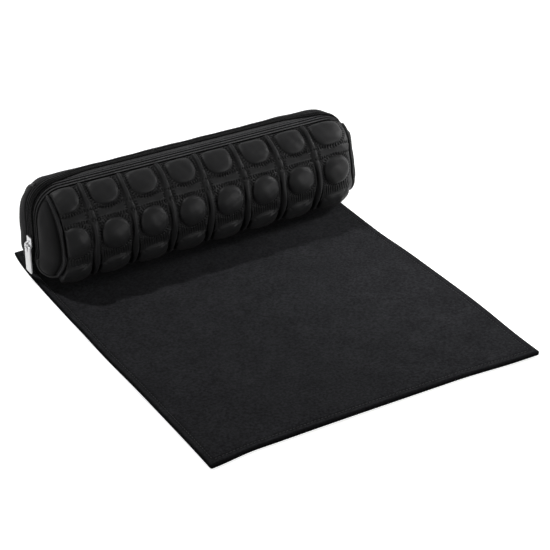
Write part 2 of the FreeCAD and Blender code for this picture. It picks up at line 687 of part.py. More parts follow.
outer_plate = doc.addObject("PartDesign::Body", "SliderOuter")
plate_pad = slider_pad(outer_plate, "SliderOuterPad", "plate_face + slider_plate", "slider_plate",
                       "slider_width")
plate_rims = []
for number, edge in enumerate(plate_pad.Shape.Edges, start=1):
    if all(abs(vertex.X + size("plate_face") + size("slider_plate")) < 1e-4 for vertex in edge.Vertexes):
        plate_rims.append("Edge%d" % number)
plate_round = outer_plate.newObject("PartDesign::Fillet", "SliderOuterRound")
plate_round.Base = (plate_pad, plate_rims)
bind(plate_round, Radius=cells("slider_edge"))
doc.recompute()
inner_plate = doc.addObject("PartDesign::Body", "SliderInner")
inner_face = "case_length / 2 - skin_thick - inner_clear"
slider_pad(inner_plate, "SliderInnerPad", inner_face, "slider_inner", "slider_width - inner_trim")
post = block(
    "SliderPost",
    ("-plate_face - post_bite", "case_mid - post_thick / 2", slider_low + " + post_low"),
    ("-(%s) + post_bite" % inner_face, "case_mid + post_thick / 2", slider_low + " + post_low + post_length"))
node("zip_slider_body", join("SliderBody", outer_plate, inner_plate, post))

# The bail: a half ring on the slider's outer plate.
bail = doc.addObject("PartDesign::Body", "BailBody")
bail_sketch = sketch_on(bail, "BailOutline", "XZ_Plane")
bail_x, bail_z = -size("bail_face"), size("bail_level")
outer_r, inner_r = size("bail_outer"), size("bail_outer") - size("bail_bar")
outer_arc = Part.Circle(V(bail_x, bail_z, 0), V(0, 0, 1), outer_r)
inner_arc = Part.Circle(V(bail_x, bail_z, 0), V(0, 0, 1), inner_r)
bail_sketch.addGeometry(Part.ArcOfCircle(outer_arc, math.pi / 2, 3 * math.pi / 2))
bail_sketch.addGeometry(Part.ArcOfCircle(inner_arc, math.pi / 2, 3 * math.pi / 2))
bail_sketch.addGeometry(Part.LineSegment(V(bail_x, bail_z + inner_r, 0), V(bail_x, bail_z + outer_r, 0)))
bail_sketch.addGeometry(Part.LineSegment(V(bail_x, bail_z - outer_r, 0), V(bail_x, bail_z - inner_r, 0)))
tie(bail_sketch, "Coincident", 2, 1, 1, 1)
tie(bail_sketch, "Coincident", 2, 2, 0, 1)
tie(bail_sketch, "Coincident", 3, 1, 0, 2)
tie(bail_sketch, "Coincident", 3, 2, 1, 2)
tie(bail_sketch, "Coincident", 0, 3, 1, 3)
tie(bail_sketch, "Vertical", 2)
tie(bail_sketch, "Vertical", 3)
constrain(bail_sketch, "bail_outer", "Radius", 0, outer_r)
constrain(bail_sketch, "bail_outer - bail_bar", "Radius", 1, inner_r)
constrain(bail_sketch, "-bail_face", "DistanceX", -1, 1, 0, 3, bail_x)
constrain(bail_sketch, "bail_level", "DistanceY", -1, 1, 0, 3, bail_z)
tie(bail_sketch, "PointOnObject", 0, 3, 2)
tie(bail_sketch, "PointOnObject", 0, 3, 3)
bail_sketch.setExpression("AttachmentOffset.Base.z", cells("-case_mid"))
doc.recompute()
bail_pad = bail.newObject("PartDesign::Pad", "BailPad")
bail_pad.Profile = bail_sketch
bail_pad.SideType = "Symmetric"
bind(bail_pad, Length=cells("bail_width"))
node("zip_slider_bail", bail)

# The puller: a plate with a slot under a round cross bar.
pull = doc.addObject("PartDesign::Body", "PullBody")
pull_sketch = sketch_on(pull, "PullOutline", "YZ_Plane")
mid = size("case_mid")
half = size("pull_width") / 2
top = size("pull_level")
foot = size("pull_level") - size("pull_length")
corners = [V(mid - half, foot, 0), V(mid + half, foot, 0), V(mid + half, top, 0), V(mid - half, top, 0)]
slot_half = size("pull_slot_half")
slot_low = top - size("pull_slot")
slot_top = top - size("pull_bite")
slot = [V(mid - slot_half, slot_low, 0), V(mid + slot_half, slot_low, 0),
        V(mid + slot_half, slot_top, 0), V(mid - slot_half, slot_top, 0)]
for ring in (corners, slot):
    for index in range(4):
        pull_sketch.addGeometry(Part.LineSegment(ring[index], ring[(index + 1) % 4]))
for start in (0, 4):
    for index in range(4):
        tie(pull_sketch, "Coincident", start + index, 2, start + (index + 1) % 4, 1)
    tie(pull_sketch, "Horizontal", start)
    tie(pull_sketch, "Vertical", start + 1)
    tie(pull_sketch, "Horizontal", start + 2)
    tie(pull_sketch, "Vertical", start + 3)
constrain(pull_sketch, "case_mid - pull_width / 2", "DistanceX", -1, 1, 0, 1, mid - half)
constrain(pull_sketch, "pull_width", "DistanceX", 0, 1, 0, 2, 2 * half)
constrain(pull_sketch, "pull_level - pull_length", "DistanceY", -1, 1, 0, 1, foot)
constrain(pull_sketch, "pull_length", "DistanceY", 1, 1, 1, 2, top - foot)
constrain(pull_sketch, "case_mid - pull_slot_half", "DistanceX", -1, 1, 4, 1, mid - slot_half)
constrain(pull_sketch, "2 * pull_slot_half", "DistanceX", 4, 1, 4, 2, 2 * slot_half)
constrain(pull_sketch, "pull_level - pull_slot", "DistanceY", -1, 1, 4, 1, slot_low)
constrain(pull_sketch, "pull_slot - pull_bite", "DistanceY", 5, 1, 5, 2, slot_top - slot_low)
pull_sketch.setExpression("AttachmentOffset.Base.z", cells("-pull_out"))
doc.recompute()
pull_pad = pull.newObject("PartDesign::Pad", "PullPad")
pull_pad.Profile = pull_sketch
pull_pad.SideType = "Symmetric"
bind(pull_pad, Length=cells("pull_thick"))
doc.recompute()
lower = []
for number, edge in enumerate(pull_pad.Shape.Edges, start=1):
    first, last = edge.Vertexes[0].Point, edge.Vertexes[-1].Point
    along = abs(first.x - last.x) > 0.1
    if along and abs(first.z - foot) < 1e-4:
        lower.append("Edge%d" % number)
pull_round = pull.newObject("PartDesign::Fillet", "PullCorners")
pull_round.Base = (pull_pad, lower)
bind(pull_round, Radius=cells("pull_corner"))
doc.recompute()
pull_bar = rod("PullBar", "pull_bar", "pull_width", "-pull_out", "case_mid", "pull_level", "Y")
node("zip_pull", join("Pull", pull, pull_bar))

# Recompute, test every object and write one STEP file for each node.
doc.recompute()
for obj in doc.Objects:
    if "Invalid" in obj.State or "Error" in obj.State:
        raise RuntimeError("object %s is %s" % (obj.Name, obj.State))
os.makedirs("parts", exist_ok=True)
for name, obj in NODES:
    shape = obj.Shape
    if shape.isNull() or not shape.isValid() or not shape.Solids:
        raise RuntimeError("node %s has no valid solid" % name)
    shape.exportStep("parts/%s.step" % name)
    print(name, "solids", len(shape.Solids), "volume", round(shape.Volume, 1), "box", shape.BoundBox)
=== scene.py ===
"""Looks of a zipped quilted leather roll case sewn to its mat.

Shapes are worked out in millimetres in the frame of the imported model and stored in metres. The case's
leather is one surface: a section of three tangent arcs and a flat bottom, rounded over at both ends.
Every sewn piece is a closed grid laid on that surface and lifted along its normals.
"""

import math

import bmesh
import bpy
import numpy as np
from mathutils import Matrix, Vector

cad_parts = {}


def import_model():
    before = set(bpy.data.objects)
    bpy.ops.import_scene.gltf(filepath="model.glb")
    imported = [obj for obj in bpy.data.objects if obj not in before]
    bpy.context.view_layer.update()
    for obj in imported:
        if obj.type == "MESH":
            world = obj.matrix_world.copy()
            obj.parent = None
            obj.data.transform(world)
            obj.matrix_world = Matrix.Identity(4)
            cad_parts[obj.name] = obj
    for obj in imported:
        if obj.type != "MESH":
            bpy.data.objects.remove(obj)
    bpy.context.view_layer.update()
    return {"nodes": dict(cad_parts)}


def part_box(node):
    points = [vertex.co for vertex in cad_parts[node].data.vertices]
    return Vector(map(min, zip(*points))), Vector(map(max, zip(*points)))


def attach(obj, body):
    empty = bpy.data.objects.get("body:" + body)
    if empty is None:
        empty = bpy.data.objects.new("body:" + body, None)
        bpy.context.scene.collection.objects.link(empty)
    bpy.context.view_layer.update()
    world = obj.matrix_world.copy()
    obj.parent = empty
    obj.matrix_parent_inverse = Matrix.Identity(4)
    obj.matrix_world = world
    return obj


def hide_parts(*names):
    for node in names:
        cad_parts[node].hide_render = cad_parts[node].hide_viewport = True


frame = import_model()
MM = 0.001
FRONT, REAR = -1, 1
LEFT, RIGHT = -1, 1


def corners(node):
    """Lowest and highest corner of a node in millimetres."""
    low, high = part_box(node)
    return np.array(low) / MM, np.array(high) / MM


def middle(node):
    """Middle of a node's box in millimetres."""
    return np.mean(corners(node), 0)


# The case's surface, from the frame and the radii of its section.
MID = float(middle("zip_pull")[1])
FLOOR = float(corners("base_panel")[0][2])
HALF_LENGTH = float(corners("rear_end_panels")[1][0])
MAT_LOW, MAT_HIGH = corners("mat_backing")[0], corners("mat_face")[1]
BELLY_RADIUS, FOOT_RADIUS = 50.0, 30.0
FOOT_HALF, END_ROUND = 16.0, 27.0
FOOT_LEVEL = FLOOR + FOOT_RADIUS
BELLY_LEVEL = FOOT_LEVEL + math.sqrt((BELLY_RADIUS - FOOT_RADIUS) ** 2 - FOOT_HALF ** 2)
TURN = math.atan2(BELLY_LEVEL - FOOT_LEVEL, FOOT_HALF)
STRAIGHT = HALF_LENGTH - END_ROUND

# Seams: tape edges beside the zip plane, piping planes near the ends, the foot line.
SKIN = 1.0
TAPE_SLIT, TAPE_EDGE, LEATHER_EDGE = 0.6, 12.5, 12.8
PIPING_AT = {LEFT: HALF_LENGTH - 12.0, RIGHT: HALF_LENGTH - 7.5}
PIPING_RADIUS = 1.5
PIPING_GAP = PIPING_RADIUS + 0.1
HINGE_LEVEL = float(middle("hinge_piping")[2])
HINGE_OUT = MID - float(middle("hinge_piping")[1])
HINGE_RADIUS = 1.4
FLAP_LOW = HINGE_LEVEL + 0.15
BODY_LOW = HINGE_LEVEL + 0.1
HALVES = ((FRONT, "front", FLAP_LOW, "front_flap"), (REAR, "rear", BODY_LOW, "base"))

# Set of the soft case: the top's fill and sink, the swelling of the end panels, how far and where the
# ends are stuffed out low down and at the top, and the zip line's bow to the rear along the top.
FILL_LEFT, SINK_RIGHT = 2.2, -1.8
END_SWELL = {LEFT: 0.7, RIGHT: 2.8}
LOW_STUFFED, TOP_STUFFED = {LEFT: 4.0, RIGHT: 4.5}, {LEFT: 0.0, RIGHT: 5.5}
LOW_HUMP = {LEFT: (FLOOR + 12.0, 20.0), RIGHT: (FLOOR + 20.0, 24.0)}
TOP_LEVELS = BELLY_LEVEL + 16.0, BELLY_LEVEL + 40.0
STUFFED_RUN = {LEFT: (STRAIGHT - 6.0, HALF_LENGTH - 8.0), RIGHT: (STRAIGHT - 12.0, HALF_LENGTH - 6.0)}
ZIP_BOW = 8.0
BOW_RUN = STRAIGHT - 42.0, STRAIGHT + 13.0


def end_profile(x):
    """How far the section is drawn in at x, and the leather's lean to the end there."""
    lean = np.arcsin(np.clip((np.abs(x) - STRAIGHT) / END_ROUND, 0, 1))
    return END_ROUND * (1 - np.cos(lean)), lean


def section(rise, belly, foot):
    """Distance from the zip plane, and level, where arcs of two radii face up by an angle."""
    low = rise < -TURN
    radius = np.where(low, foot, belly)
    out = np.where(low, FOOT_HALF, 0.0) + radius * np.cos(rise)
    return out, np.where(low, FOOT_LEVEL, BELLY_LEVEL) + radius * np.sin(rise)


def case_point(side, x, rise, depth=0.0):
    """Point on the case at x where the leather faces up by an angle, or at a depth below."""
    drawn, lean = end_profile(x)
    inward = depth * np.cos(lean)
    out, level = section(rise, BELLY_RADIUS - drawn - inward, FOOT_RADIUS - drawn - inward)
    return np.stack([x - np.sign(x) * depth * np.sin(lean), MID + side * out, level], -1)


def smooth_step(value, low, high):
    """0 below low, 1 above high, smooth between."""
    t = np.clip((value - low) / (high - low), 0, 1)
    return t * t * (3 - 2 * t)


def fade(value, low, high):
    """1 below low, 0 above high, smooth between."""
    return 1 - smooth_step(value, low, high)


def leg(long_side, other):
    """Third side of a right triangle, 0 where there is none."""
    return np.sqrt(np.clip(long_side ** 2 - other ** 2, 0, None))


def zip_bow(way):
    """How far the zip line lies behind the zip plane, by way along it from the middle of the top."""
    return ZIP_BOW * fade(np.abs(way), *BOW_RUN)


def girth(rise):
    """Length round the section from the level line, positive upwards."""
    return np.where(rise < -TURN, -BELLY_RADIUS * TURN + FOOT_RADIUS * (rise + TURN), BELLY_RADIUS * rise)


def end_reach(out, level):
    """How far along X the case's end lies at a distance from the zip plane and a level."""
    above = np.arctan2(level - BELLY_LEVEL, out) >= -TURN
    belly = BELLY_RADIUS - np.hypot(out, level - BELLY_LEVEL)
    rounded = FOOT_RADIUS - np.hypot(out - FOOT_HALF, level - FOOT_LEVEL)
    foot = np.where(out > FOOT_HALF, rounded, level - FLOOR)
    drawn = np.clip(np.where(above, belly, foot), 0, END_ROUND)
    return STRAIGHT + leg(END_ROUND, END_ROUND - drawn)


# Mesh helpers. Backs of sheets are coarser than their faces by a step.
BACK_STEP = 4
TUBE_SIDES, THREAD_SIDES = 12, 6
TUBE_ENDS = ((0.5, 0.87), (0.85, 0.53))
TINY = 1e-12
BACK_IN = SKIN - 0.1


def bump(value, centre, half):
    """A round hump of height 1 about a centre."""
    return np.clip(1 - ((value - centre) / half) ** 2, 0, 1) ** 2


def normals(points, outward):
    """Unit normals of a grid of points, turned to the side of outward."""
    along, across = np.gradient(points, axis=1), np.gradient(points, axis=0)
    found = np.cross(along, across)
    found /= np.linalg.norm(found, axis=-1, keepdims=True) + TINY
    return np.where(np.sum(found * outward, axis=-1, keepdims=True) < 0, -found, found)


def lift(points, height):
    """A grid on the case moved along its normals, out from the case's middle line."""
    inside = points.copy()
    inside[..., 0] = np.clip(points[..., 0], -STRAIGHT, STRAIGHT)
    inside[..., 1:] = MID, BELLY_LEVEL
    return points + normals(points, points - inside) * height[..., None]


def settled(points):
    """Points of the soft case: top full at the left and sunk at the right, ends stuffed out."""
    points = np.array(points, float)
    x, level = points[..., 0].copy(), points[..., 2].copy()
    for end in (LEFT, RIGHT):
        low = LOW_STUFFED[end] * bump(level, *LOW_HUMP[end])
        top = TOP_STUFFED[end] * smooth_step(level, *TOP_LEVELS)
        points[..., 0] += end * (low + top) * smooth_step(end * x, *STUFFED_RUN[end])
    share = smooth_step(points[..., 2], BELLY_LEVEL, BELLY_LEVEL + BELLY_RADIUS)
    along = (points[..., 0] + HALF_LENGTH) / (2 * HALF_LENGTH)
    points[..., 2] += share * (FILL_LEFT + (SINK_RIGHT - FILL_LEFT) * along)
    return points


def in_scene(name, data):
    """A new object in the scene."""
    thing = bpy.data.objects.new(name, data)
    bpy.context.scene.collection.objects.link(thing)
    return thing


def placed(name, mesh, material, body, sharp):
    """A smooth piece that rides on a body, sharp at edges over an angle in degrees."""
    mesh.shade_smooth()
    mesh.set_sharp_from_angle(angle=math.radians(sharp))
    mesh.materials.clear()
    mesh.materials.append(material)
    piece = in_scene(name, mesh)
    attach(piece, body)
    return piece


def write_out(work, mesh):
    """Turn the faces being worked on outwards and write them to the mesh."""
    bmesh.ops.recalc_face_normals(work, faces=work.faces)
    work.to_mesh(mesh)
    work.free()


def add_mesh(name, points, faces, material, body, sharp=40):
    """A piece from points in millimetres, which settle with the case."""
    mesh = bpy.data.meshes.new(name)
    mesh.from_pydata([tuple(p) for p in settled(points) * MM], [], faces)
    mesh.validate()
    work = bmesh.new()
    work.from_mesh(mesh)
    write_out(work, mesh)
    return placed(name, mesh, material, body, sharp)


def grid_ring(row, col, last_row, last_col, rows, cols):
    """Corners of one part of a grid, with every place that lies on the grid's own border."""
    def run(start, stop, border):
        return range(start, stop, 1 if stop > start else -1) if border else [start]
    ring = [(row, c) for c in run(col, last_col, row == 0)]
    ring += [(r, last_col) for r in run(row, last_row, last_col == cols - 1)]
    ring += [(last_row, c) for c in run(last_col, col, last_row == rows - 1)]
    return ring + [(r, col) for r in run(last_row, row, col == 0)]


def sheet_mesh(name, face, back, material, body, step=BACK_STEP, sharp=40):
    """A closed piece between a face grid and a back grid, whose cells are coarser by a step."""
    rows, cols = face.shape[:2]
    front_at = np.arange(rows * cols).reshape(rows, cols)
    faces = np.stack([front_at[:-1, :-1], front_at[:-1, 1:], front_at[1:, 1:], front_at[1:, :-1]], -1)
    faces = faces.reshape(-1, 4).tolist()
    kept = np.zeros((rows, cols), bool)
    kept[::step, ::step] = True
    kept[[0, -1]] = kept[:, [0, -1]] = True
    back_at = np.full((rows, cols), -1)
    back_at[kept] = rows * cols + np.arange(kept.sum())
    for row in range(0, rows - 1, step):
        for col in range(0, cols - 1, step):
            ring = grid_ring(row, col, row + step, col + step, rows, cols)
            faces.append([int(back_at[place]) for place in reversed(ring)])
    border = grid_ring(0, 0, rows - 1, cols - 1, rows, cols)
    for here, there in zip(border, border[1:] + border[:1]):
        faces.append([int(front_at[here]), int(back_at[here]), int(back_at[there]), int(front_at[there])])
    points = np.concatenate([face.reshape(-1, 3), back[kept]])
    return add_mesh(name, points, faces, material, body, sharp)


def count(length, spacing, step=BACK_STEP):
    """Grid points over a length at about a spacing, in whole steps."""
    return step * max(1, round(length / spacing / step)) + 1


def tube_faces(first, rings, sides):
    """Faces of a closed tube of rings whose points start at a first place."""
    faces, last = [], first + (rings - 1) * sides
    for row in range(first, last, sides):
        for index in range(sides):
            following = (index + 1) % sides
            faces.append([row + index, row + following, row + sides + following, row + sides + index])
    for row in (first, last):
        faces.append(list(range(row, row + sides)))
    return faces


def ring_angles(sides):
    """Cosine and sine of the points of a ring."""
    turns = [2 * math.pi * index / sides for index in range(sides)]
    return [(math.cos(turn), math.sin(turn)) for turn in turns]


def tube_mesh(name, path, radius, material, body):
    """A round tube with domed ends along a path of points."""
    path = np.asarray(path, float)
    ahead = np.gradient(path, axis=0)
    ahead /= np.linalg.norm(ahead, axis=1, keepdims=True)
    spine = [(path[0] - ahead[0] * radius * f, ahead[0], r) for f, r in reversed(TUBE_ENDS)]
    spine += [(p, a, 1.0) for p, a in zip(path, ahead)]
    spine += [(path[-1] + ahead[-1] * radius * f, ahead[-1], r) for f, r in TUBE_ENDS]
    reference = (1.0, 0.0, 0.0) if abs(ahead[0][0]) < 0.9 else (0.0, 0.0, 1.0)
    points = []
    for place, direction, share in spine:
        across = np.cross(direction, reference)
        across /= np.linalg.norm(across)
        over = np.cross(across, direction)
        for cosine, sine in ring_angles(TUBE_SIDES):
            points.append(place + radius * share * (across * cosine + over * sine))
    return add_mesh(name, points, tube_faces(0, len(spine), TUBE_SIDES), material, body, sharp=60)


# Materials. Nodes, sockets and trees of nodes all lead to their tree by id_data.
def join(sources, sockets):
    """Join outputs to inputs, one by one."""
    for source, socket in zip(sources, sockets):
        socket.id_data.links.new(source, socket)


def set_inputs(node, **values):
    """Set a node's inputs, named with underscores for spaces, to values or outputs."""
    for key, value in values.items():
        socket = node.inputs[key.replace("_", " ")]
        if isinstance(value, bpy.types.NodeSocket):
            join([value], [socket])
        else:
            socket.default_value = value


def new_material(name, colour, roughness, specular):
    """A node material with its shader set up."""
    material = bpy.data.materials.new(name)
    material.use_nodes = True
    shader = material.node_tree.nodes["Principled BSDF"]
    set_inputs(shader, Base_Color=(*colour, 1), Roughness=roughness, Specular_IOR_Level=specular)
    return material, shader


def add_node(owner, kind, **values):
    """A node in the tree of another, with its named inputs set."""
    node = owner.id_data.nodes.new(kind)
    set_inputs(node, **values)
    return node


def texture(shader, kind, scale, **values):
    """A texture node read in the piece's own coordinates."""
    place = add_node(shader, "ShaderNodeTexCoord").outputs["Object"]
    return add_node(shader, kind, Scale=scale, Vector=place, **values)


def noise(shader, scale, detail, roughness=0.5):
    """Cloudy noise in the piece's own coordinates."""
    return texture(shader, "ShaderNodeTexNoise", scale, Detail=detail, Roughness=roughness).outputs["Fac"]


def ramp(source, low, high, start=0.0, stop=1.0):
    """Colour between two colours or greys by a texture's value from start to stop."""
    node = add_node(source, "ShaderNodeValToRGB", Fac=source)
    for element, value, place in zip(node.color_ramp.elements, (low, high), (start, stop)):
        element.color = (*value, 1) if isinstance(value, tuple) else (value, value, value, 1)
        element.position = place
    return node.outputs["Color"]


def multiplied(first, second):
    """The product of two colour outputs, by the colour sockets of a mix node."""
    node = add_node(first, "ShaderNodeMix", Factor=1.0)
    node.data_type = "RGBA"
    node.blend_type = "MULTIPLY"
    join((first, second), node.inputs[6:8])
    return node.outputs[2]


def marked(colour):
    """A colour darkened where the mesh's attribute for darkening is high: dark stitches and seams, and
    painted shade.
    """
    mark = add_node(colour, "ShaderNodeAttribute")
    mark.attribute_name = "darkening"
    return multiplied(colour, ramp(mark.outputs["Fac"], 1.0, 0.1))


def mark_points(piece, depth, rest=0.0):
    """Store how dark a piece's first points, and the rest of them, are made, 0 to 1: dark stitches and seams,
    and painted shade.
    """
    values = np.full(len(piece.data.vertices), rest, np.float32)
    values[:depth.size] = depth.ravel()
    piece.data.attributes.new("darkening", "FLOAT", "POINT").data.foreach_set("value", values)


def relief(shader, layers):
    """Bumps on the shader from textures, each with a strength and a height in metres."""
    under = {}
    for source, strength, height in layers:
        node = add_node(shader, "ShaderNodeBump", Height=source, Strength=strength, Distance=height, **under)
        under = {"Normal": node.outputs["Normal"]}
    set_inputs(shader, **under)


def scaled(colour, factor):
    """A colour made lighter or darker."""
    return tuple(c * factor for c in colour)


def leather_material(name, colour, roughness, specular, grain):
    """Grained leather: pebbles and creases in relief, uneven gloss and colour."""
    material, shader = new_material(name, colour, roughness, specular)
    pebble = texture(shader, "ShaderNodeTexVoronoi", grain).outputs["Distance"]
    crease = noise(shader, grain * 0.35, detail=6.0, roughness=0.6)
    cloud = noise(shader, 45.0, detail=3.0)
    relief(shader, [(pebble, 0.25, 0.0002), (crease, 0.3, 0.0003)])
    hide = ramp(cloud, scaled(colour, 0.75), scaled(colour, 1.35))
    gloss = ramp(crease, roughness - 0.1, roughness + 0.12)
    set_inputs(shader, Base_Color=marked(hide), Roughness=gloss)
    return material


def cloth_material(name, colour, roughness, specular, threads, depth, sheen):
    """Woven cloth: two sets of threads in relief with soft, uneven colour."""
    material, shader = new_material(name, colour, roughness, specular)
    set_inputs(shader, Sheen_Weight=sheen, Sheen_Roughness=0.5)
    layers = []
    for direction in "XY":
        thread = texture(shader, "ShaderNodeTexWave", threads, Distortion=1.2, Detail=1.0)
        thread.bands_direction = direction
        layers.append((thread.outputs["Fac"], 0.3, depth))
    fuzz = noise(shader, threads * 2.5, detail=4.0)
    cloud = noise(shader, 30.0, detail=5.0, roughness=0.65)
    relief(shader, layers + [(fuzz, 0.4, depth)])
    speckle = noise(shader, threads * 0.5, detail=2.0)
    grain = ramp(speckle, 0.62, 1.38, start=0.3, stop=0.7)
    tone = ramp(cloud, scaled(colour, 0.57), scaled(colour, 1.48))
    set_inputs(shader, Base_Color=marked(multiplied(tone, grain)))
    return material


def metal_material(name, colour, roughness, metallic):
    """Plated metal with fine brushing and faint wear."""
    material, shader = new_material(name, colour, roughness, 0.5)
    relief(shader, [(noise(shader, 900.0, detail=2.0), 0.08, 0.0001)])
    gloss = ramp(noise(shader, 260.0, detail=4.0), roughness - 0.08, roughness + 0.1)
    set_inputs(shader, Metallic=metallic, Roughness=gloss)
    return material


QUILT_LEATHER = leather_material("quilted leather", (0.0122, 0.0122, 0.0126), 0.43, 0.085, grain=2600.0)
PLAIN_LEATHER = leather_material("plain leather", (0.0170, 0.0170, 0.0175), 0.64, 0.035, grain=2300.0)
PIPING_LEATHER = leather_material("piping leather", (0.013, 0.013, 0.0135), 0.46, 0.09, grain=2600.0)
COIL_NYLON = leather_material("coil nylon", (0.004, 0.004, 0.0043), 0.5, 0.05, grain=6000.0)
MAT_CLOTH = cloth_material("mat cloth", (0.0177, 0.0179, 0.0196), 0.95, 0.02,
                           threads=900.0, depth=0.0002, sheen=0.01)
LINING_CLOTH = cloth_material("lining cloth", (0.022, 0.022, 0.024), 0.8, 0.08,
                              threads=1400.0, depth=0.00015, sheen=0.05)
TAPE_CLOTH = cloth_material("zip tape cloth", (0.085, 0.085, 0.087), 0.95, 0.01,
                            threads=1600.0, depth=0.00015, sheen=0.0)
THREAD = cloth_material("thread", (0.035, 0.035, 0.036), 0.6, 0.1, threads=4000.0, depth=0.00005, sheen=0.02)
PLATED_METAL = metal_material("plated metal", (0.92, 0.92, 0.93), 0.36, metallic=0.15)
POLISHED_METAL = metal_material("polished metal", (0.62, 0.62, 0.63), 0.2, metallic=0.95)
STOP_METAL = metal_material("black plated metal", (0.03, 0.03, 0.032), 0.4, metallic=1.0)


# The quilted front panel, by place along X and girth up from the level line. A column has two domes over
# a loose fold, the pouch. A sewn band runs between the rows, and ribs with channels between the columns.
PANEL_GIRTH = 104.0
QUILT_SEED, QUILT_SPACING, QUILT_BACK_STEP = 4, 0.45, 8
QUILT_SEWN_IN, QUILT_HEM, SEAM_WIDE, SEAM_DARK, LEAST_SKIN = 1.0, 2.4, 1.4, 1.6, 0.4
COLUMNS = 8
PITCH = 2 * STRAIGHT / (COLUMNS - 1)
QUILT_SHIFT = -3.5
TOP_ROW, TOP_RISE, TOP_FLAT = 51.2, 3.4, 4.2
MIDDLE_ROW, MIDDLE_RISE, MIDDLE_FLAT = 9.6, 5.0, 2.6
DOME_HALF, DOME_SQUARE, DOME_POWER = 14.8, 2.1, 0.58
SEAM_SQUASH, SEAM_SQUARE = 1.2, 3.8
OFF_PLACE, OFF_SIZE, OFF_RISE = 0.4, 0.02, 0.06
RING_REACH, RING_HALF, RING_TICKS = 1.12, 0.16, 38
BAND_MIDDLE, BAND_HALF, BAND_RISE, BAND_PAD = 31.0, 3.6, 0.35, (2.6, 0.6)
TICK_PITCH, TICK_HALF, TICK_DEPTH, TICK_WIDE, TICK_OFF = 2.7, 2.2, 1.3, 0.2, 0.25
TICK_ROW = BAND_HALF + TICK_HALF * 0.7
RIB_HALF, RIB_RISE, RIB_PAD, RIB_UNDER = 2.6, 2.5, (2.2, 0.55), 0.5
RIB_WANDER, RIB_WAVE = 0.5, 8.0
RIB_STITCH_OFF, RIB_STITCH_HALF, RIB_STITCH_SHARE, RIB_STITCH_RUN = 1.7, 1.8, 0.8, (-14, -4)
PINCH, PINCH_ROW, PINCH_HALF = 0.5, BAND_HALF + 1.5, 3.4
CHANNEL_HALF, CHANNEL_DEPTH, CHANNEL_FLAT = 1.7, 1.2, 0.7
CHANNEL_OFF = RIB_HALF + CHANNEL_HALF * 0.6
CHANNEL_LEAST, CHANNEL_MORE, CHANNEL_RUN = 0.5, 1.4, (2, 22)
PLEAT_PITCH, PLEAT_MIDDLE, PLEAT_HALF, PLEAT_DEPTH = 2.5, -10.0, 9.0, 0.9
PLEAT_LEAN, PLEAT_SIDES = 0.15, (0.8, 0.95)
POUCH_MIDDLE, POUCH_HALF, POUCH_WIDE, POUCH_RISE, POUCH_SLANT = -28.5, 12.5, 15.8, 4.6, 2.0
POUCH_SIDES, POUCH_TOP, POUCH_FOOT, POUCH_POWER = 2.6, 2.2, 0.06, 0.55
CREASE_AT, CREASE_SLANT, CREASE_HALF, CREASE_DEPTH, CREASE_RUN = 0.62, 0.28, 0.1, 1.2, (0.1, 0.6)
FLECK_AT, FLECK_SLANT, FLECK_HALF, FLECK_DEPTH, FLECK_RUN = 0.1, 0.9, 0.14, 0.8, (0.45, 0.8)
CURL_ACROSS, CURL_UP, CURL_RISE = (0.8, 0.2), (0.78, 0.3), 1.0
# Crown heights between which the marks fade, then for the painted shade in the channels and pleats, the
# groove depth in millimetres that gives full shade, and the most shade there is.
MARKS_FADE, GROOVE_SHADE_DEPTH, GROOVE_SHADE_MOST = (0.9, 2.4), 2.2, 0.8


def tick(place):
    """Narrow stitch marks one apart: 1 on a mark, 0 between."""
    return np.exp(-((place - np.round(place)) / TICK_WIDE) ** 2)


def pad(reach, flat, power):
    """A padded shape, 1 at its middle and 0 from a reach of 1 on."""
    return np.clip(1 - np.abs(reach) ** flat, 0, 1) ** power


def pouch(across, g):
    """The loose fold at the foot of a column, with creases to its upper corners."""
    up = (g - POUCH_MIDDLE - POUCH_SLANT * across) / POUCH_HALF
    reach = np.abs(across) ** POUCH_SIDES + np.where(up > 0, np.abs(up) ** POUCH_TOP, POUCH_FOOT * up ** 2)
    crease = bump(up - CREASE_AT - CREASE_SLANT * across, 0.0, CREASE_HALF) * smooth_step(across, *CREASE_RUN)
    fleck = bump(up + across * FLECK_SLANT, FLECK_AT, FLECK_HALF) * smooth_step(-across, *FLECK_RUN)
    curl = bump(across, *CURL_ACROSS) * bump(up, *CURL_UP)
    bulge = POUCH_RISE * pad(reach, 1, POUCH_POWER)
    return bulge - CREASE_DEPTH * crease - FLECK_DEPTH * fleck + CURL_RISE * curl


def quilt_columns(x, g, rng):
    """Crown, pleats and stitches of the columns."""
    crown, marks, darkening = np.zeros((3, *x.shape))
    for column in range(COLUMNS):
        centre = (column - (COLUMNS - 1) / 2) * PITCH + QUILT_SHIFT
        for row, rise, flat in ((TOP_ROW, TOP_RISE, TOP_FLAT), (MIDDLE_ROW, MIDDLE_RISE, MIDDLE_FLAT)):
            across = (x - centre - rng.normal(0, OFF_PLACE)) / (DOME_HALF * (1 + rng.normal(0, OFF_SIZE)))
            along = (g - row - rng.normal(0, OFF_PLACE)) / DOME_HALF
            under_seam = (along > 0) & (row == TOP_ROW)
            along = np.where(under_seam, along * SEAM_SQUASH, along)
            square = np.where(under_seam, SEAM_SQUARE, DOME_SQUARE)
            reach = (np.abs(across) ** square + np.abs(along) ** square) ** (1 / square)
            dome = rise * (1 + rng.normal(0, OFF_RISE)) * pad(reach, flat, DOME_POWER)
            crown = np.maximum(crown, dome)
            turn = np.arctan2(along, across) * RING_TICKS / (2 * math.pi)
            darkening = np.maximum(darkening, tick(turn) * bump(reach, RING_REACH, RING_HALF))
        across = (x - centre) / POUCH_WIDE
        crown = np.maximum(crown, pouch(across, g))
        pleats = bump(g, PLEAT_MIDDLE, PLEAT_HALF) * fade(np.abs(across), *PLEAT_SIDES)
        marks = np.minimum(marks, -PLEAT_DEPTH * pleats * tick((x + PLEAT_LEAN * g) / PLEAT_PITCH))
    return crown, marks, darkening


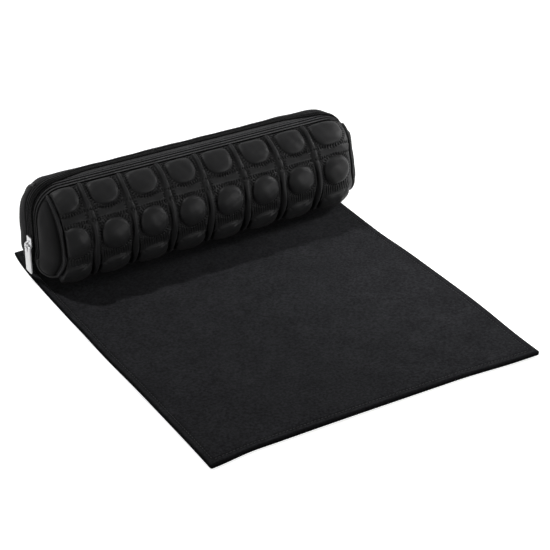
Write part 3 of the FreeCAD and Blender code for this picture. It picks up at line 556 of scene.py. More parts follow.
def quilt_height(x, g):
    """Height of the quilting over the plain leather, and how dark it is made: dark stitch ticks, and painted
    shade in the channels and pleats.
    """
    rng = np.random.default_rng(QUILT_SEED)
    crown, marks, darkening = quilt_columns(x, g, rng)
    over = g - BAND_MIDDLE
    crown = np.maximum(crown, BAND_RISE * pad(over / BAND_HALF, *BAND_PAD))
    for edge in (-1, 1):
        row = bump(over, edge * TICK_ROW, TICK_HALF)
        darkening = np.maximum(darkening, tick(x / TICK_PITCH + TICK_OFF * edge) * row)
    pinch = PINCH * (bump(over, -PINCH_ROW, PINCH_HALF) + bump(over, PINCH_ROW, PINCH_HALF))
    deep = CHANNEL_DEPTH * (CHANNEL_LEAST + CHANNEL_MORE * smooth_step(-g, *CHANNEL_RUN))
    sewn = smooth_step(g, *RIB_STITCH_RUN)
    for index in range(COLUMNS - 1):
        wander = RIB_WANDER * np.sin(g / RIB_WAVE + rng.uniform(0, 6))
        offset = x - (index - (COLUMNS - 2) / 2) * PITCH - QUILT_SHIFT - wander
        rib = RIB_RISE * (1 - pinch) * pad(offset / RIB_HALF, *RIB_PAD)
        crown = np.where(np.abs(offset) < RIB_HALF, np.maximum(rib, RIB_UNDER * crown), crown)
        for edge in (-1, 1):
            beside = offset - edge * CHANNEL_OFF
            channel = bump(beside, 0.0, CHANNEL_HALF)
            marks = np.minimum(marks, -deep * channel)
            row = bump(beside, edge * RIB_STITCH_OFF, RIB_STITCH_HALF) * sewn
            darkening = np.maximum(darkening, RIB_STITCH_SHARE * row * tick(g / TICK_PITCH))
            crown = crown * (1 - CHANNEL_FLAT * channel)
    flat = fade(crown, *MARKS_FADE)
    darkening = darkening * flat
    waves = ripple(x, g, seed=21, size=0.3, short=5, long=14)
    height = crown + np.minimum(marks * flat, -TICK_DEPTH * darkening) + waves
    # The painted shade in the channels and pleats, from their depth, joins the dark ticks of the stitches.
    return height, np.maximum(darkening, np.clip(-marks * flat / GROOVE_SHADE_DEPTH, 0, GROOVE_SHADE_MOST))


def panel_grid(side, low_level, wide, tall, step=BACK_STEP):
    """Places over a long panel: x, the angle the leather faces up by, girth and distance from the border.

    wide and tall are spacings. The rear panel's upper edge follows the bowed zip line.
    """
    left, right = PIPING_AT[LEFT], PIPING_AT[RIGHT]
    cols, rows = count(left + right, wide, step), count(PANEL_GIRTH, tall, step)
    x = np.linspace(PIPING_GAP - left, right - PIPING_GAP, cols)[None, :].repeat(rows, 0)
    drawn, lean = end_profile(x)
    bow = zip_bow(np.minimum(np.abs(x), STRAIGHT) + END_ROUND * lean) if side == REAR else 0.0
    low = np.arcsin(np.clip((low_level - FOOT_LEVEL) / (FOOT_RADIUS - drawn), -1, 1))
    high = np.arccos((LEATHER_EDGE + bow) / (BELLY_RADIUS - drawn))
    rise = low + np.linspace(0, 1, rows)[:, None] * (high - low)
    g = girth(rise)
    edge = np.minimum.reduce([g - girth(low), girth(high) - g, x - x[0, 0], x[0, -1] - x])
    return x, rise, g, edge


def front_quilt():
    """The quilted panel from the zip seam to the foot line."""
    x, rise, g, edge = panel_grid(FRONT, FLAP_LOW, QUILT_SPACING, QUILT_SPACING, QUILT_BACK_STEP)
    quilting, darkening = quilt_height(x, g)
    height = quilting * smooth_step(edge, 0, QUILT_HEM)
    height -= QUILT_SEWN_IN * fade(edge, 0, SEAM_WIDE)
    face = lift(case_point(FRONT, x, rise), height)
    back = lift(case_point(FRONT, x, rise, BACK_IN), np.minimum(height + SKIN - LEAST_SKIN, 0.0))
    panel = sheet_mesh("front_quilt", face, back, QUILT_LEATHER, "front_flap", QUILT_BACK_STEP)
    # Colour darkened at the stitches and along the seam, and with painted shade in the channels and pleats.
    mark_points(panel, np.maximum(darkening, fade(edge, 0, SEAM_DARK)))
    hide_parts("front_quilted_panel")


# Plain leather: the rear panel, the end panels, the piping, the base tray. Tails are the piping's ends,
# which leave the seam above the foot line and turn up beside the zip tape.
WAVES = 7
REAR_SWELL, REAR_SWELL_RUN, REAR_SEWN_IN = 0.5, 9, 0.5
END_WIDTH, END_WIDE, END_TALL, END_DROP = 34.0, 0.9, 1.0, 0.8
END_SWELL_RUN, END_SEWN_IN, END_SEAM = 8, 1.2, (0.6, 2.6)
# Painted shade on the end panels beside the piping: how dark it is, and the distance from the border over
# which it fades.
FOLD_SHADE, FOLD_RUN = 0.6, (1.0, 8.0)
SEAM_POINTS, TAIL_POINTS, FOOT_POINTS = 90, 30, 140
TAIL_START, TAIL_PULL, TAIL_FOOT, TAIL_BLEND = 9.0, 7.0, 0.5, 0.35
TAIL_OUT, TAIL_RISE, TAIL_LEVEL = LEATHER_EDGE + 2.2, 16.0, 3.5
TAIL_OVER, TAIL_ON_SWELL = 0.3, 0.2
CORD_LIFT = {FRONT: 0.3, REAR: -0.6}
TRAY_COLUMNS, TRAY_ROWS, TRAY_GAP, TRAY_TRIM = 161, 61, 0.15, 0.5
LINED_COLUMNS, LINED_ROWS, LINED_GAP, LINED_TRIM = 121, 41, 0.3, 9.0
LINED_IN, LINED_SINK, LINED_CROWN, LINED_LEAST = 1.3, 1.2, 1.1, 0.4
LINED_ENDS, LINED_SIDES = 8, 6


def ripple(x, g, seed, size, short=18, long=60):
    """Uneven swelling of leather, in waves between a short and a long length."""
    rng = np.random.default_rng(seed)
    total = np.zeros_like(x)
    for _ in range(WAVES):
        step = rng.uniform(short, long)
        angle = rng.uniform(0, math.pi)
        phase = rng.uniform(0, 2 * math.pi)
        total += np.sin(2 * math.pi * (x * math.cos(angle) + g * math.sin(angle)) / step + phase)
    return total * size / WAVES


def rear_leather():
    """The smooth rear panel with its edges turned in at the seams."""
    x, rise, g, edge = panel_grid(REAR, BODY_LOW, wide=1.5, tall=1.2)
    height = (REAR_SWELL + ripple(x, g, seed=3, size=0.9)) * smooth_step(edge, 0, REAR_SWELL_RUN)
    height -= REAR_SEWN_IN * fade(edge, 0, SEAM_WIDE)
    face, back = lift(case_point(REAR, x, rise), height), case_point(REAR, x, rise, BACK_IN)
    panel = sheet_mesh("rear_leather", face, back, PLAIN_LEATHER, "base")
    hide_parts("rear_panel")


def end_outline(drawn, level):
    """Distance of an end panel's border from the zip plane, by how far it is drawn in and level."""
    belly, foot = BELLY_RADIUS - drawn, FOOT_RADIUS - drawn
    join = BELLY_LEVEL - belly * math.sin(TURN)
    lower = FOOT_HALF + leg(foot, level - FOOT_LEVEL)
    return np.where(level >= join, leg(belly, level - BELLY_LEVEL), lower)


def end_panel(name, side, end, low_level, body):
    """The lens-shaped leather between the zip tape and the end piping."""
    drawn = float(end_profile(PIPING_AT[end] + PIPING_GAP)[0])
    top = BELLY_LEVEL + leg(BELLY_RADIUS - drawn, LEATHER_EDGE) - END_DROP
    rows, cols = count(top - low_level, END_TALL), count(END_WIDTH, END_WIDE)
    level = np.linspace(low_level, top, rows)[:, None].repeat(cols, 1)
    outer = end_outline(drawn, level)
    out = LEATHER_EDGE + np.linspace(0, 1, cols)[None, :] * (outer - LEATHER_EDGE)
    base = np.stack([end * end_reach(out, level), MID + side * out, level], -1)
    over_tail = level - low_level - TAIL_LEVEL
    edge = np.minimum.reduce([out - LEATHER_EDGE, outer - out, over_tail, top - level])
    waves = ripple(out, level, seed=11 + side + 3 * end, size=0.7)
    height = (END_SWELL[end] + waves) * smooth_step(edge, 0, END_SWELL_RUN)
    height -= END_SEWN_IN * fade(edge, 0, END_SEAM[1])
    outward = normals(base, np.array([end, 0, 0]))
    face, back = base + outward * height[..., None], base - outward * BACK_IN
    panel = sheet_mesh(name, face, back, PLAIN_LEATHER, body)
    # Seams darkened, with painted shade beside the piping and on the strip below the piping's tail.
    fold = FOLD_SHADE * fade(outer - out, *FOLD_RUN)
    mark_points(panel, np.maximum(fade(edge, *END_SEAM), fold))
    return panel


def piping_tail(end, start, ahead, low_level):
    """Places of the piping's end, from a start and direction on the seam to its turn up the zip tape."""
    t = np.linspace(0, 1, TAIL_POINTS)[1:, None]
    stops = [start, start + TAIL_PULL * ahead, np.array([TAIL_OUT, low_level + TAIL_FOOT]),
             np.array([TAIL_OUT, low_level + TAIL_RISE])]
    weights = [(1 - t) ** 3, 3 * t * (1 - t) ** 2, 3 * t ** 2 * (1 - t), t ** 3]
    curve = sum(weight * stop for weight, stop in zip(weights, stops))
    on_panel = end_reach(curve[:, 0], curve[:, 1]) + TAIL_OVER + TAIL_ON_SWELL * END_SWELL[end]
    share = smooth_step(t[:, 0], 0.0, TAIL_BLEND)
    return curve, PIPING_AT[end] + share * (on_panel - PIPING_AT[end])


def end_piping(name, side, end, low_level, body):
    """Round leather piping on the seam between an end panel and the long panel."""
    drawn = float(end_profile(PIPING_AT[end])[0])
    belly, foot = (radius - drawn + CORD_LIFT[side] for radius in (BELLY_RADIUS, FOOT_RADIUS))
    top = math.acos((LEATHER_EDGE + PIPING_RADIUS) / belly)
    low = math.asin(max(-1.0, (low_level + PIPING_RADIUS - FOOT_LEVEL) / foot))
    out, level = section(np.linspace(low, top, SEAM_POINTS), belly, foot)
    seam = np.stack([out, level], -1)[level > low_level + TAIL_START]
    ahead = (seam[0] - seam[1]) / np.linalg.norm(seam[0] - seam[1])
    curve, reach = piping_tail(end, seam[0], ahead, low_level)
    run = np.concatenate([curve[::-1], seam])
    x = end * np.concatenate([reach[::-1], np.full(len(seam), PIPING_AT[end])])
    path = np.stack([x, MID + side * run[:, 0], run[:, 1]], -1)
    piece = tube_mesh(name, path, PIPING_RADIUS, PIPING_LEATHER, body)
    return piece


def ends():
    """Both ends of both halves: leather panels and piping."""
    for side, half, low_level, body in HALVES:
        for end, hand in ((LEFT, "left"), (RIGHT, "right")):
            panel = end_panel(f"{half}_end_leather_{hand}", side, end, low_level, body)
            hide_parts(f"{half}_end_panels")
            piping = end_piping(f"{half}_end_cord_{hand}", side, end, low_level, body)
            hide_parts(f"{half}_end_piping")


def foot_piping():
    """Piping on the two foot lines; the flap turns on the front one."""
    for side, node in ((FRONT, "hinge_piping"), (REAR, "rear_base_piping")):
        reach = corners(node)[1][0] - HINGE_RADIUS
        run = np.linspace(-reach, reach, FOOT_POINTS)
        path = [(x, MID + side * HINGE_OUT, HINGE_LEVEL) for x in run]
        piece = tube_mesh(node + "_cord", path, HINGE_RADIUS, PIPING_LEATHER, "base")
        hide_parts(node)


def tray_grid(depth, top, cols, rows, end_trim):
    """A grid over the bottom of the case at a depth inside the leather, up to a level."""
    full = STRAIGHT + leg(END_ROUND, END_ROUND - (top - FLOOR)) - end_trim
    x = np.linspace(-full, full, cols)[None, :].repeat(rows, 0)
    radius = FOOT_RADIUS - end_profile(x)[0] - depth
    half = FOOT_HALF + leg(radius, FOOT_LEVEL - top)
    y = np.linspace(-1, 1, rows)[:, None] * half
    level = FOOT_LEVEL - leg(radius, np.clip(np.abs(y) - FOOT_HALF, 0, None))
    return np.stack([x, MID + y, np.minimum(level, top)], -1)


def base_leather():
    """The leather tray under the hollow."""
    top = HINGE_LEVEL - TRAY_GAP
    face = tray_grid(0.0, top, TRAY_COLUMNS, TRAY_ROWS, end_trim=0.0)
    back = tray_grid(BACK_IN, top, TRAY_COLUMNS, TRAY_ROWS, end_trim=TRAY_TRIM)
    piece = sheet_mesh("base_leather", face, back, PLAIN_LEATHER, "base")
    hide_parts("base_panel")


def base_floor():
    """The padded, lined floor of the hollow over its board."""
    top = HINGE_LEVEL - LINED_GAP
    under = tray_grid(LINED_IN, top, LINED_COLUMNS, LINED_ROWS, end_trim=LINED_TRIM)
    face = under.copy()
    along = np.clip(1 - (under[..., 0] / under[..., 0].max()) ** LINED_ENDS, 0, 1)
    across = 1 - np.linspace(-1, 1, LINED_ROWS)[:, None] ** LINED_SIDES
    face[..., 2] = top - LINED_SINK + LINED_CROWN * along * across
    under[..., 2] = np.minimum(under[..., 2], face[..., 2] - LINED_LEAST)
    piece = sheet_mesh("base_lined_floor", face, under, LINING_CLOTH, "base", step=1, sharp=50)
    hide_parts("base_lining", "base_padding", "base_board")


# The padded and lined walls of the two halves, with the counts of their grids.
WALL_OUT, WALL_IN, WALL_SLOT = 1.1, 7.0, 6.0
WALL_LIFT = 1.6
WALL_COLUMNS, WALL_ROWS, WALL_TURNS, WALL_FILLS = 61, 53, 13, 8


def wall_grid(side, depth, low_level):
    """A bowl-shaped grid inside one half of the case at a depth, closed over at both ends."""
    lean = np.linspace(0, math.pi / 2, WALL_TURNS)[1:]
    turn = END_ROUND - depth
    arc, arc_drawn = STRAIGHT + turn * np.sin(lean), depth + turn * (1 - np.cos(lean))
    x = np.concatenate([-arc[::-1], np.linspace(-1, 1, WALL_COLUMNS) * STRAIGHT, arc])
    drawn = np.concatenate([arc_drawn[::-1], np.full(WALL_COLUMNS, depth), arc_drawn])
    belly, foot = BELLY_RADIUS - drawn, FOOT_RADIUS - drawn
    high = np.arccos(WALL_SLOT / belly)
    low = np.arcsin(np.maximum((low_level - FOOT_LEVEL) / foot, -1.0))
    rise = np.linspace(0, 1, WALL_ROWS)[:, None] * (high - low) + low
    out, level = section(rise, belly, foot)
    fills = ((0, 0), (WALL_FILLS, WALL_FILLS))
    out = np.pad(out, fills, "linear_ramp", end_values=WALL_SLOT)
    x = np.broadcast_to(np.pad(x, WALL_FILLS, "edge"), out.shape)
    return np.stack([x, MID + side * out, np.pad(level, fills, "edge")], -1)


def inner_walls():
    """Padding under its lining in the rear half and the flap."""
    for side, half, low_level, body in HALVES:
        face, back = (wall_grid(side, depth, low_level + WALL_LIFT) for depth in (WALL_IN, WALL_OUT))
        wall = sheet_mesh(f"{half}_padded_wall", face, back, LINING_CLOTH, body, step=1, sharp=50)
        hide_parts(f"{half}_padding", f"{half}_end_padding", f"{half}_lining")


# The zip: woven tapes and coils over the top and down both ends.
COIL_LOW = FLOOR + 20.0
ARC = END_ROUND * math.pi / 2
END_RUN = BELLY_LEVEL + BELLY_RADIUS - 2 * END_ROUND - FLOOR


def zip_point(way, out, side):
    """Point over the zip, by way along it from the middle of the top and out from the zip plane."""
    far = np.abs(way)
    past = far - STRAIGHT
    lean = np.clip(past / END_ROUND, 0, math.pi / 2)
    radius = BELLY_RADIUS - END_ROUND * (1 - np.cos(lean))
    shoulder = BELLY_LEVEL + leg(radius, out)
    low = FLOOR + END_ROUND
    down = np.clip((past - ARC) / END_RUN, 0, 1)
    tuck = np.clip((past - ARC - END_RUN) / END_ROUND, 0, math.pi / 2)
    level = shoulder + (low - shoulder) * down - END_ROUND * np.sin(tuck)
    x = np.minimum(far, STRAIGHT) + END_ROUND * np.sin(lean) - END_ROUND * (1 - np.cos(tuck))
    return np.stack([np.sign(way) * x, MID + side * out, level], -1)


def zip_length(low_level):
    """Half of the zip's length, from the middle of the top to a level on the ends."""
    return STRAIGHT + ARC + END_RUN + END_ROUND * math.asin((FLOOR + END_ROUND - low_level) / END_ROUND)


TAPE_WIDTH, TAPE_BARE, TAPE_BACK = 16.0, 3.3, -SKIN - 0.1
TAPE_ALONG, TAPE_ACROSS = 0.9, 0.28
TAPE_RIBS, TAPE_RIB_PITCH, TAPE_RIB_HEIGHT = 3, 3.7, 0.9
WEAVE_HEIGHT, WEAVE_ALONG, WEAVE_ACROSS = 0.08, 1.9, 1.2
TAPE_RIB_ROUND, TAPE_FLAT, TAPE_SINK = 0.55, 0.8, 0.05
# Painted shade and light on the tapes, as shares of dark: along the top of the rear tape, down the ends, on
# the flat part and between the ribs, and painted light on the rib crests.
TOP_SHADE, END_SHADE, FLAT_SHADE, RIB_SHADE, CREST_LIGHT = 0.9, 0.6, 0.3, 1.55, 1.6
END_SHADE_RUN = STRAIGHT - 6.0, STRAIGHT + ARC / 2


def zip_tape(half, side, body):
    """A woven tape with ribs along it, which reaches to the bowed zip line."""
    reach = zip_length(FLAP_LOW)
    cols, rows = count(2 * reach, TAPE_ALONG), count(TAPE_WIDTH, TAPE_ACROSS)
    way = np.linspace(-reach, reach, cols)[None, :].repeat(rows, 0)
    share = np.linspace(0, 1, rows)[:, None]
    inner = TAPE_SLIT + side * zip_bow(way)
    outer = TAPE_EDGE + (zip_bow(way) if side == REAR else 0.0)
    out = inner + share * (outer - inner)
    within = outer - out
    crest = np.abs(np.sin(math.pi * within / TAPE_RIB_PITCH))
    ribbed, under_coil = within < TAPE_RIBS * TAPE_RIB_PITCH, out - inner < TAPE_BARE
    height = TAPE_RIB_HEIGHT * (np.where(ribbed, crest ** TAPE_RIB_ROUND, TAPE_FLAT) - 1.0) - TAPE_SINK
    height = np.where(under_coil, -TAPE_RIB_HEIGHT, height)
    weave = np.sin(2 * math.pi * way / WEAVE_ALONG) * np.sin(2 * math.pi * within / WEAVE_ACROSS)
    height += WEAVE_HEIGHT * weave
    base = zip_point(way, out, side)
    face, back = lift(base, height), lift(base, np.full_like(height, TAPE_BACK))
    piece = sheet_mesh(f"{half}_woven_tape", face, back, TAPE_CLOTH, body)
    # Painted shade between the ribs with painted light on their crests, painted shade on the flat part, down
    # the ends and along the top of the rear tape, and full painted shade on the tape under the coil.
    mark = np.where(ribbed, np.clip(RIB_SHADE - CREST_LIGHT * crest ** 2, 0, 1), FLAT_SHADE)
    shade = END_SHADE * smooth_step(np.abs(way), *END_SHADE_RUN)
    if side == REAR:
        shade = np.maximum(shade, TOP_SHADE * fade(np.abs(way), *BOW_RUN))
    mark_points(piece, np.where(under_coil, 1.0, 1 - (1 - mark) * (1 - shade)))
    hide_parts(f"{half}_zip_tape")


# Coil turns, with their girth at shares of the way out from the zip plane.
TOOTH_PITCH, TOOTH_LENGTH = 1.4, 1.0
TOOTH_HEIGHT, TOOTH_SUNK = 1.35, 0.55
TOOTH_NEAR, TOOTH_FAR = 0.15, 2.9
TOOTH_STATIONS = ((0.0, 0.45), (0.18, 0.9), (0.55, 1.0), (0.85, 0.8), (1.0, 0.35))


def zip_coil(half, side, body):
    """A row of round nylon turns on one tape, the rear ones between the front ones."""
    reach = zip_length(COIL_LOW)
    offset = TOOTH_PITCH / 2 if side == REAR else 0.0
    points, faces = [], []
    for way in np.arange(-reach + offset + TOOTH_LENGTH, reach - TOOTH_LENGTH, TOOTH_PITCH):
        first = len(points)
        for share, girth_share in TOOTH_STATIONS:
            out = TOOTH_NEAR + share * (TOOTH_FAR - TOOTH_NEAR) + side * float(zip_bow(way))
            here = zip_point(way, out, side)
            ahead = zip_point(way + TOOTH_LENGTH / 2, out, side) - here
            ahead /= np.linalg.norm(ahead)
            up = np.cross(ahead, (0.0, 1.0, 0.0))
            up /= np.linalg.norm(up)
            for cosine, sine in ring_angles(THREAD_SIDES):
                along = TOOTH_LENGTH / 2 * girth_share * cosine
                over = TOOTH_HEIGHT / 2 * (1 + girth_share * sine) - TOOTH_SUNK
                points.append(here + ahead * along + up * over)
        faces += tube_faces(first, len(TOOTH_STATIONS), THREAD_SIDES)
    piece = add_mesh(f"{half}_coil_teeth", points, faces, COIL_NYLON, body, sharp=70)
    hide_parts(f"{half}_zip_coil")


def zip_chain():
    """Both tapes and both coils."""
    for side, half, _, body in HALVES:
        zip_tape(half, side, body)
        zip_coil(half, side, body)


# Metal: softened copies of the slider, bail, puller and stops.
def softened(node, body, material, bevel=0.2):
    """A copy of a metal node with its edges rounded by a bevel in millimetres."""
    mesh = frame["nodes"][node].data.copy()
    work = bmesh.new()
    work.from_mesh(mesh)
    bmesh.ops.remove_doubles(work, verts=work.verts, dist=1e-6)
    bmesh.ops.dissolve_limit(work, angle_limit=math.radians(1), verts=work.verts, edges=work.edges)
    edges = [e for e in work.edges if len(e.link_faces) == 2 and e.calc_face_angle(0) > math.radians(30)]
    bmesh.ops.bevel(work, geom=edges, offset=bevel * MM, segments=2, profile=0.6, affect="EDGES",
                    clamp_overlap=True)
    write_out(work, mesh)
    piece = placed(node + "_metal", mesh, material, body, sharp=50)
    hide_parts(node)


def zip_metal():
    """The slider, its bail, the puller and the stops."""
    softened("zip_slider_body", "zip_slider", POLISHED_METAL, bevel=0.12)
    softened("zip_slider_bail", "zip_slider", POLISHED_METAL, bevel=0.3)
    softened("zip_pull", "pull_tab", PLATED_METAL)
    softened("rear_zip_stop", "base", STOP_METAL)
    softened("zip_bottom_stop", "base", STOP_METAL)
    softened("front_zip_stop", "front_flap", STOP_METAL)


# The mat: its stitches, with their width at shares of their length, then its outline. How far the sides
# and the front corners lie off square comes first, then where that starts and ends, as shares. Its waves
# have a height and two lengths, along Y and X.
STITCH_IN, STITCH_TRIM, STITCH_SUNK = 6.5, 3, 0.42
STITCH_PITCH, STITCH_LENGTH, THREAD_RADIUS = 3.4, 2.6, 0.36
STITCH_STATIONS = ((-0.5, 0.35), (-0.3, 0.9), (0.0, 1.0), (0.3, 0.9), (0.5, 0.35))
MAT_SPACING, MAT_CORNER = 1.5, 2.0
MAT_X, MAT_Y = ((MAT_HIGH + MAT_LOW) / 2)[:2]
HALF_X, HALF_Y = ((MAT_HIGH - MAT_LOW) / 2)[:2]
LEFT_CUT, FRONT_CUT = 1.5, 2.0
LEFT_BELLY, LEFT_BELLY_END = 2.2, (0.45, 0.85)
LEFT_CORNER, CORNER_POWER = 5.0, 14
RIGHT_DRAWN = 2.4
RIGHT_BELLY, RIGHT_BELLY_START, RIGHT_BELLY_END = 4.8, (0.4, 0.66), (0.8, 1.0)
FLARE, FLARE_START = {LEFT: 4.6, RIGHT: 5.0}, {LEFT: (0.72, 1.02), RIGHT: (0.45, 1.05)}
FLARE_POWER = 3
FREE_FROM, FREE_RUN = MID - 70, 60
MAT_STAND, MAT_WAVES = 0.4, ((0.35, 34.0, 120.0), (0.25, -75.0, 41.0))
EDGE_RUN, EDGE_WAVE, EDGE_LENGTH = 40, 0.9, 17.0
MAT_ROUND, MAT_ROUND_RUN, GROOVE_DEPTH, GROOVE_HALF = 0.7, 2.0, 0.45, 1.6
BACK_SLACK, BACK_ROUND = 0.3, 0.3
RIM_DARK, ROW_DARK, ROW_DARK_HALF = (0.8, 2.8), 0.5, 2.4


def mat_lift(x, y):
    """Soft waves of the mat's free part, none under the case, by place from the mat's middle."""
    free = smooth_step(FREE_FROM - y, 0, FREE_RUN)
    wave = sum(height * np.sin(y / along + x / across) for height, along, across in MAT_WAVES)
    edge = smooth_step(np.abs(x), HALF_X - EDGE_RUN, HALF_X)
    ruffle = EDGE_WAVE * (0.5 + 0.5 * np.sin(y / EDGE_LENGTH + np.sign(x)))
    return free * (MAT_STAND + wave) + free * edge * ruffle


def cut(x, y):
    """Places of a true rectangle moved as the mat was cut, off square."""
    across, along = (x - MAT_X) / HALF_X, (y - MAT_Y) / HALF_Y
    front = 0.5 - 0.5 * along
    left = LEFT_CUT + LEFT_BELLY * fade(front, *LEFT_BELLY_END)
    left = left - LEFT_CORNER * (1 - front) ** CORNER_POWER
    right = RIGHT_BELLY * smooth_step(front, *RIGHT_BELLY_START) - RIGHT_DRAWN
    right = right - RIGHT_BELLY / 2 * smooth_step(front, *RIGHT_BELLY_END)
    x = x - left * (0.5 - 0.5 * across) + right * (0.5 + 0.5 * across)
    flare = sum(FLARE[end] * smooth_step(end * across, *FLARE_START[end]) for end in (LEFT, RIGHT))
    return x, y - FRONT_CUT * front * across - flare * front ** FLARE_POWER


def mat_sheet():
    """The mat as one cloth with rounded edges and, inside them, a groove for its stitches."""
    cols, rows = (count(2 * half, MAT_SPACING) for half in (HALF_X, HALF_Y))
    across, along = np.meshgrid(np.linspace(-1, 1, cols) * HALF_X, np.linspace(-1, 1, rows) * HALF_Y)
    over_x = np.clip(np.abs(across) - HALF_X + MAT_CORNER, 0, None)
    over_y = np.clip(np.abs(along) - HALF_Y + MAT_CORNER, 0, None)
    pull = np.maximum(over_x, over_y) / np.maximum(np.hypot(over_x, over_y), TINY)
    across = across - np.sign(across) * over_x * (1 - pull)
    along = along - np.sign(along) * over_y * (1 - pull)
    edge = np.minimum(HALF_X - np.abs(across), HALF_Y - np.abs(along))
    level = mat_lift(across, along)
    rounded = MAT_ROUND * fade(edge, 0, MAT_ROUND_RUN)
    groove = GROOVE_DEPTH * bump(edge, STITCH_IN, GROOVE_HALF)
    x, y = cut(across + MAT_X, along + MAT_Y)
    face = np.stack([x, y, MAT_HIGH[2] + level - rounded - groove], -1)
    raised = np.clip(level - BACK_SLACK, 0, None) + BACK_ROUND * rounded
    back = np.stack([x, y, MAT_LOW[2] + raised], -1)
    piece = sheet_mesh("mat_sheet", face, back, MAT_CLOTH, "base", sharp=60)
    row = ROW_DARK * bump(edge, STITCH_IN, ROW_DARK_HALF)
    mark_points(piece, np.maximum(fade(edge, *RIM_DARK), row), rest=1.0)
    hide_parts("mat_face", "mat_core", "mat_backing")
    mat_stitches()


def mat_stitches():
    """Thread stitches in the groove round the mat."""
    run_x, run_y = HALF_X - STITCH_IN, HALF_Y - STITCH_IN
    row_x, row_y = (np.arange(-run + STITCH_TRIM, run - STITCH_TRIM, STITCH_PITCH) for run in (run_x, run_y))
    spots = [(place, edge, False) for place in row_x for edge in (-run_y, run_y)]
    spots += [(edge, place, True) for place in row_y for edge in (-run_x, run_x)]
    points, faces = [], []
    for x, y, turned in spots:
        first = len(points)
        level = float(mat_lift(x, y)) + MAT_HIGH[2] - STITCH_SUNK
        for along, width in STITCH_STATIONS:
            run = along * STITCH_LENGTH
            for cosine, sine in ring_angles(THREAD_SIDES):
                across, over = THREAD_RADIUS * width * cosine, THREAD_RADIUS * width * sine
                side_x, side_y = (across, run) if turned else (run, across)
                spot = cut(x + side_x + MAT_X, y + side_y + MAT_Y)
                points.append((*spot, level + over))
        faces += tube_faces(first, len(STITCH_STATIONS), THREAD_SIDES)
    piece = add_mesh("mat_stitches", points, faces, THREAD, "base", sharp=70)
    return piece


def anchor_strip():
    """The sewn strip under the case keeps its CAD shape and gets the mat's cloth."""
    strip = frame["nodes"]["mat_anchor_strip"]
    strip.data.materials.clear()
    strip.data.materials.append(MAT_CLOTH)


# Stage, light and camera. Places are in metres and powers in watts.
STAGE_REACH, STAGE_LEVEL = 1.3, -0.0004
STAGE_PAINT = (0.6, 0.6, 0.6, 1)
WHITE = (1, 1, 1, 1)
SKY_LIGHT = 0.015
OBJECT_MIDDLE = (0.0, 0.08, 0.03)
LEFT_END = (-0.17, 0.14, 0.04)
MAT_RIGHT = (0.25, -0.03, 0.0)
EYE, AIM = (-0.7359, -1.2516, 0.9056), (0.030, 0.0356, 0.0)
LENS, SENSOR = 119.83, 36.0


def background_mix(light, shown, output):
    """Set an output to one shader for light and to another for rays that see the white background."""
    path = add_node(output, "ShaderNodeLightPath")
    seen = path.outputs["Is Camera Ray"]
    for kind in ("Is Glossy Ray", "Is Transmission Ray"):
        either = add_node(output, "ShaderNodeMath")
        either.operation = "MAXIMUM"
        join((seen, path.outputs[kind]), either.inputs)
        seen = either.outputs["Value"]
    mix = add_node(output, "ShaderNodeMixShader")
    join((seen, light, shown), mix.inputs)
    set_inputs(output, Surface=mix.outputs["Shader"])


def floor_material():
    """White paint that also glows where the background is seen, up to full white further out."""
    material = bpy.data.materials.new("white floor")
    material.use_nodes = True
    tree = material.node_tree
    tree.nodes.clear()
    paint = add_node(tree, "ShaderNodeBsdfDiffuse", Color=STAGE_PAINT).outputs["BSDF"]
    place = add_node(tree, "ShaderNodeNewGeometry").outputs["Position"]
    far = add_node(tree, "ShaderNodeVectorMath", Vector=place)
    far.operation = "LENGTH"
    power = add_node(tree, "ShaderNodeMapRange", From_Min=0.5, From_Max=0.9, To_Min=0.82, To_Max=1.0)
    set_inputs(power, Value=far.outputs["Value"])
    glow = add_node(tree, "ShaderNodeEmission", Strength=power.outputs["Result"])
    both = add_node(tree, "ShaderNodeAddShader")
    join((paint, glow.outputs["Emission"]), both.inputs)
    background_mix(paint, both.outputs["Shader"], add_node(tree, "ShaderNodeOutputMaterial"))
    return material


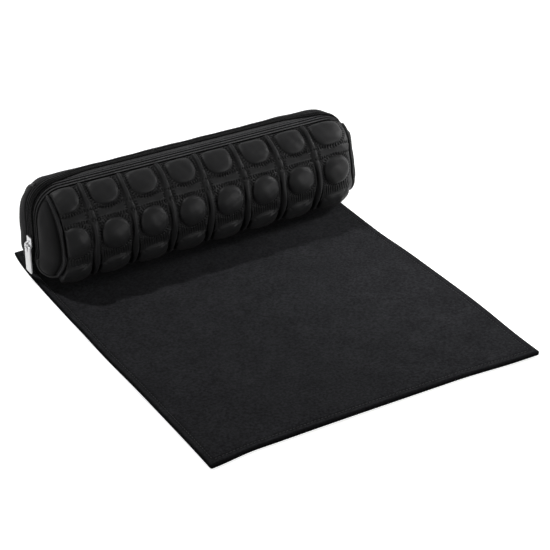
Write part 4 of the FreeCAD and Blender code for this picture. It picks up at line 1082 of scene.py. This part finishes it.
def floor():
    """A white floor that keeps the object's shadow."""
    corner_signs = ((-1, -1), (1, -1), (1, 1), (-1, 1))
    mesh = bpy.data.meshes.new("floor")
    mesh.from_pydata([(x * STAGE_REACH, y * STAGE_REACH, STAGE_LEVEL) for x, y in corner_signs],
                     [], [(0, 1, 2, 3)])
    mesh.materials.append(floor_material())
    plane = in_scene("floor", mesh)


def world():
    """Weak even light all round, plain white where the background is seen."""
    studio = bpy.data.worlds.new("studio")
    bpy.context.scene.world = studio
    studio.use_nodes = True
    nodes = studio.node_tree.nodes
    sky = nodes["Background"]
    set_inputs(sky, Color=WHITE, Strength=SKY_LIGHT)
    white = add_node(sky, "ShaderNodeBackground", Color=WHITE, Strength=1.0)
    background_mix(sky.outputs["Background"], white.outputs["Background"], nodes["World Output"])


def aimed(name, data, place, target):
    """A light or camera in the scene, turned to a point."""
    holder = in_scene(name, data)
    holder.location = place
    holder.rotation_mode = "QUATERNION"
    holder.rotation_quaternion = (Vector(target) - Vector(place)).to_track_quat("-Z", "Y")
    return holder


def area_light(name, place, target, size, power, spread=180):
    """A round soft box aimed at a point, its beam narrowed to a spread in degrees."""
    lamp = bpy.data.lights.new(name, "AREA")
    lamp.shape = "DISK"
    lamp.size = size
    lamp.energy = power
    lamp.spread = math.radians(spread)
    aimed(name, lamp, place, target)


def lights():
    """A small key behind on the left, low boxes in front and at both sides, a weak one over the mat."""
    area_light("key", (-0.42, 0.84, 1.42), OBJECT_MIDDLE, size=0.10, power=15.5)
    area_light("front", (0.85, -1.05, 0.15), OBJECT_MIDDLE, size=0.5, power=12.5)
    area_light("side", (1.0, 0.1, 0.3), OBJECT_MIDDLE, size=0.4, power=4)
    area_light("left", (-1.2, -0.25, 0.14), LEFT_END, size=0.4, power=4.2)
    area_light("sheen", (0.85, -0.05, 0.6), MAT_RIGHT, size=0.25, power=0.42, spread=36)


def camera():
    """The camera at the photograph's viewing angle."""
    data = bpy.data.cameras.new("camera")
    data.lens = LENS
    data.sensor_width = SENSOR
    bpy.context.scene.camera = aimed("camera", data, EYE, AIM)


front_quilt()
rear_leather()
ends()
foot_piping()
base_leather()
base_floor()
inner_walls()
zip_chain()
zip_metal()
mat_sheet()
anchor_strip()
floor()
world()
lights()
camera()
bpy.context.scene.view_settings.view_transform = "Standard"
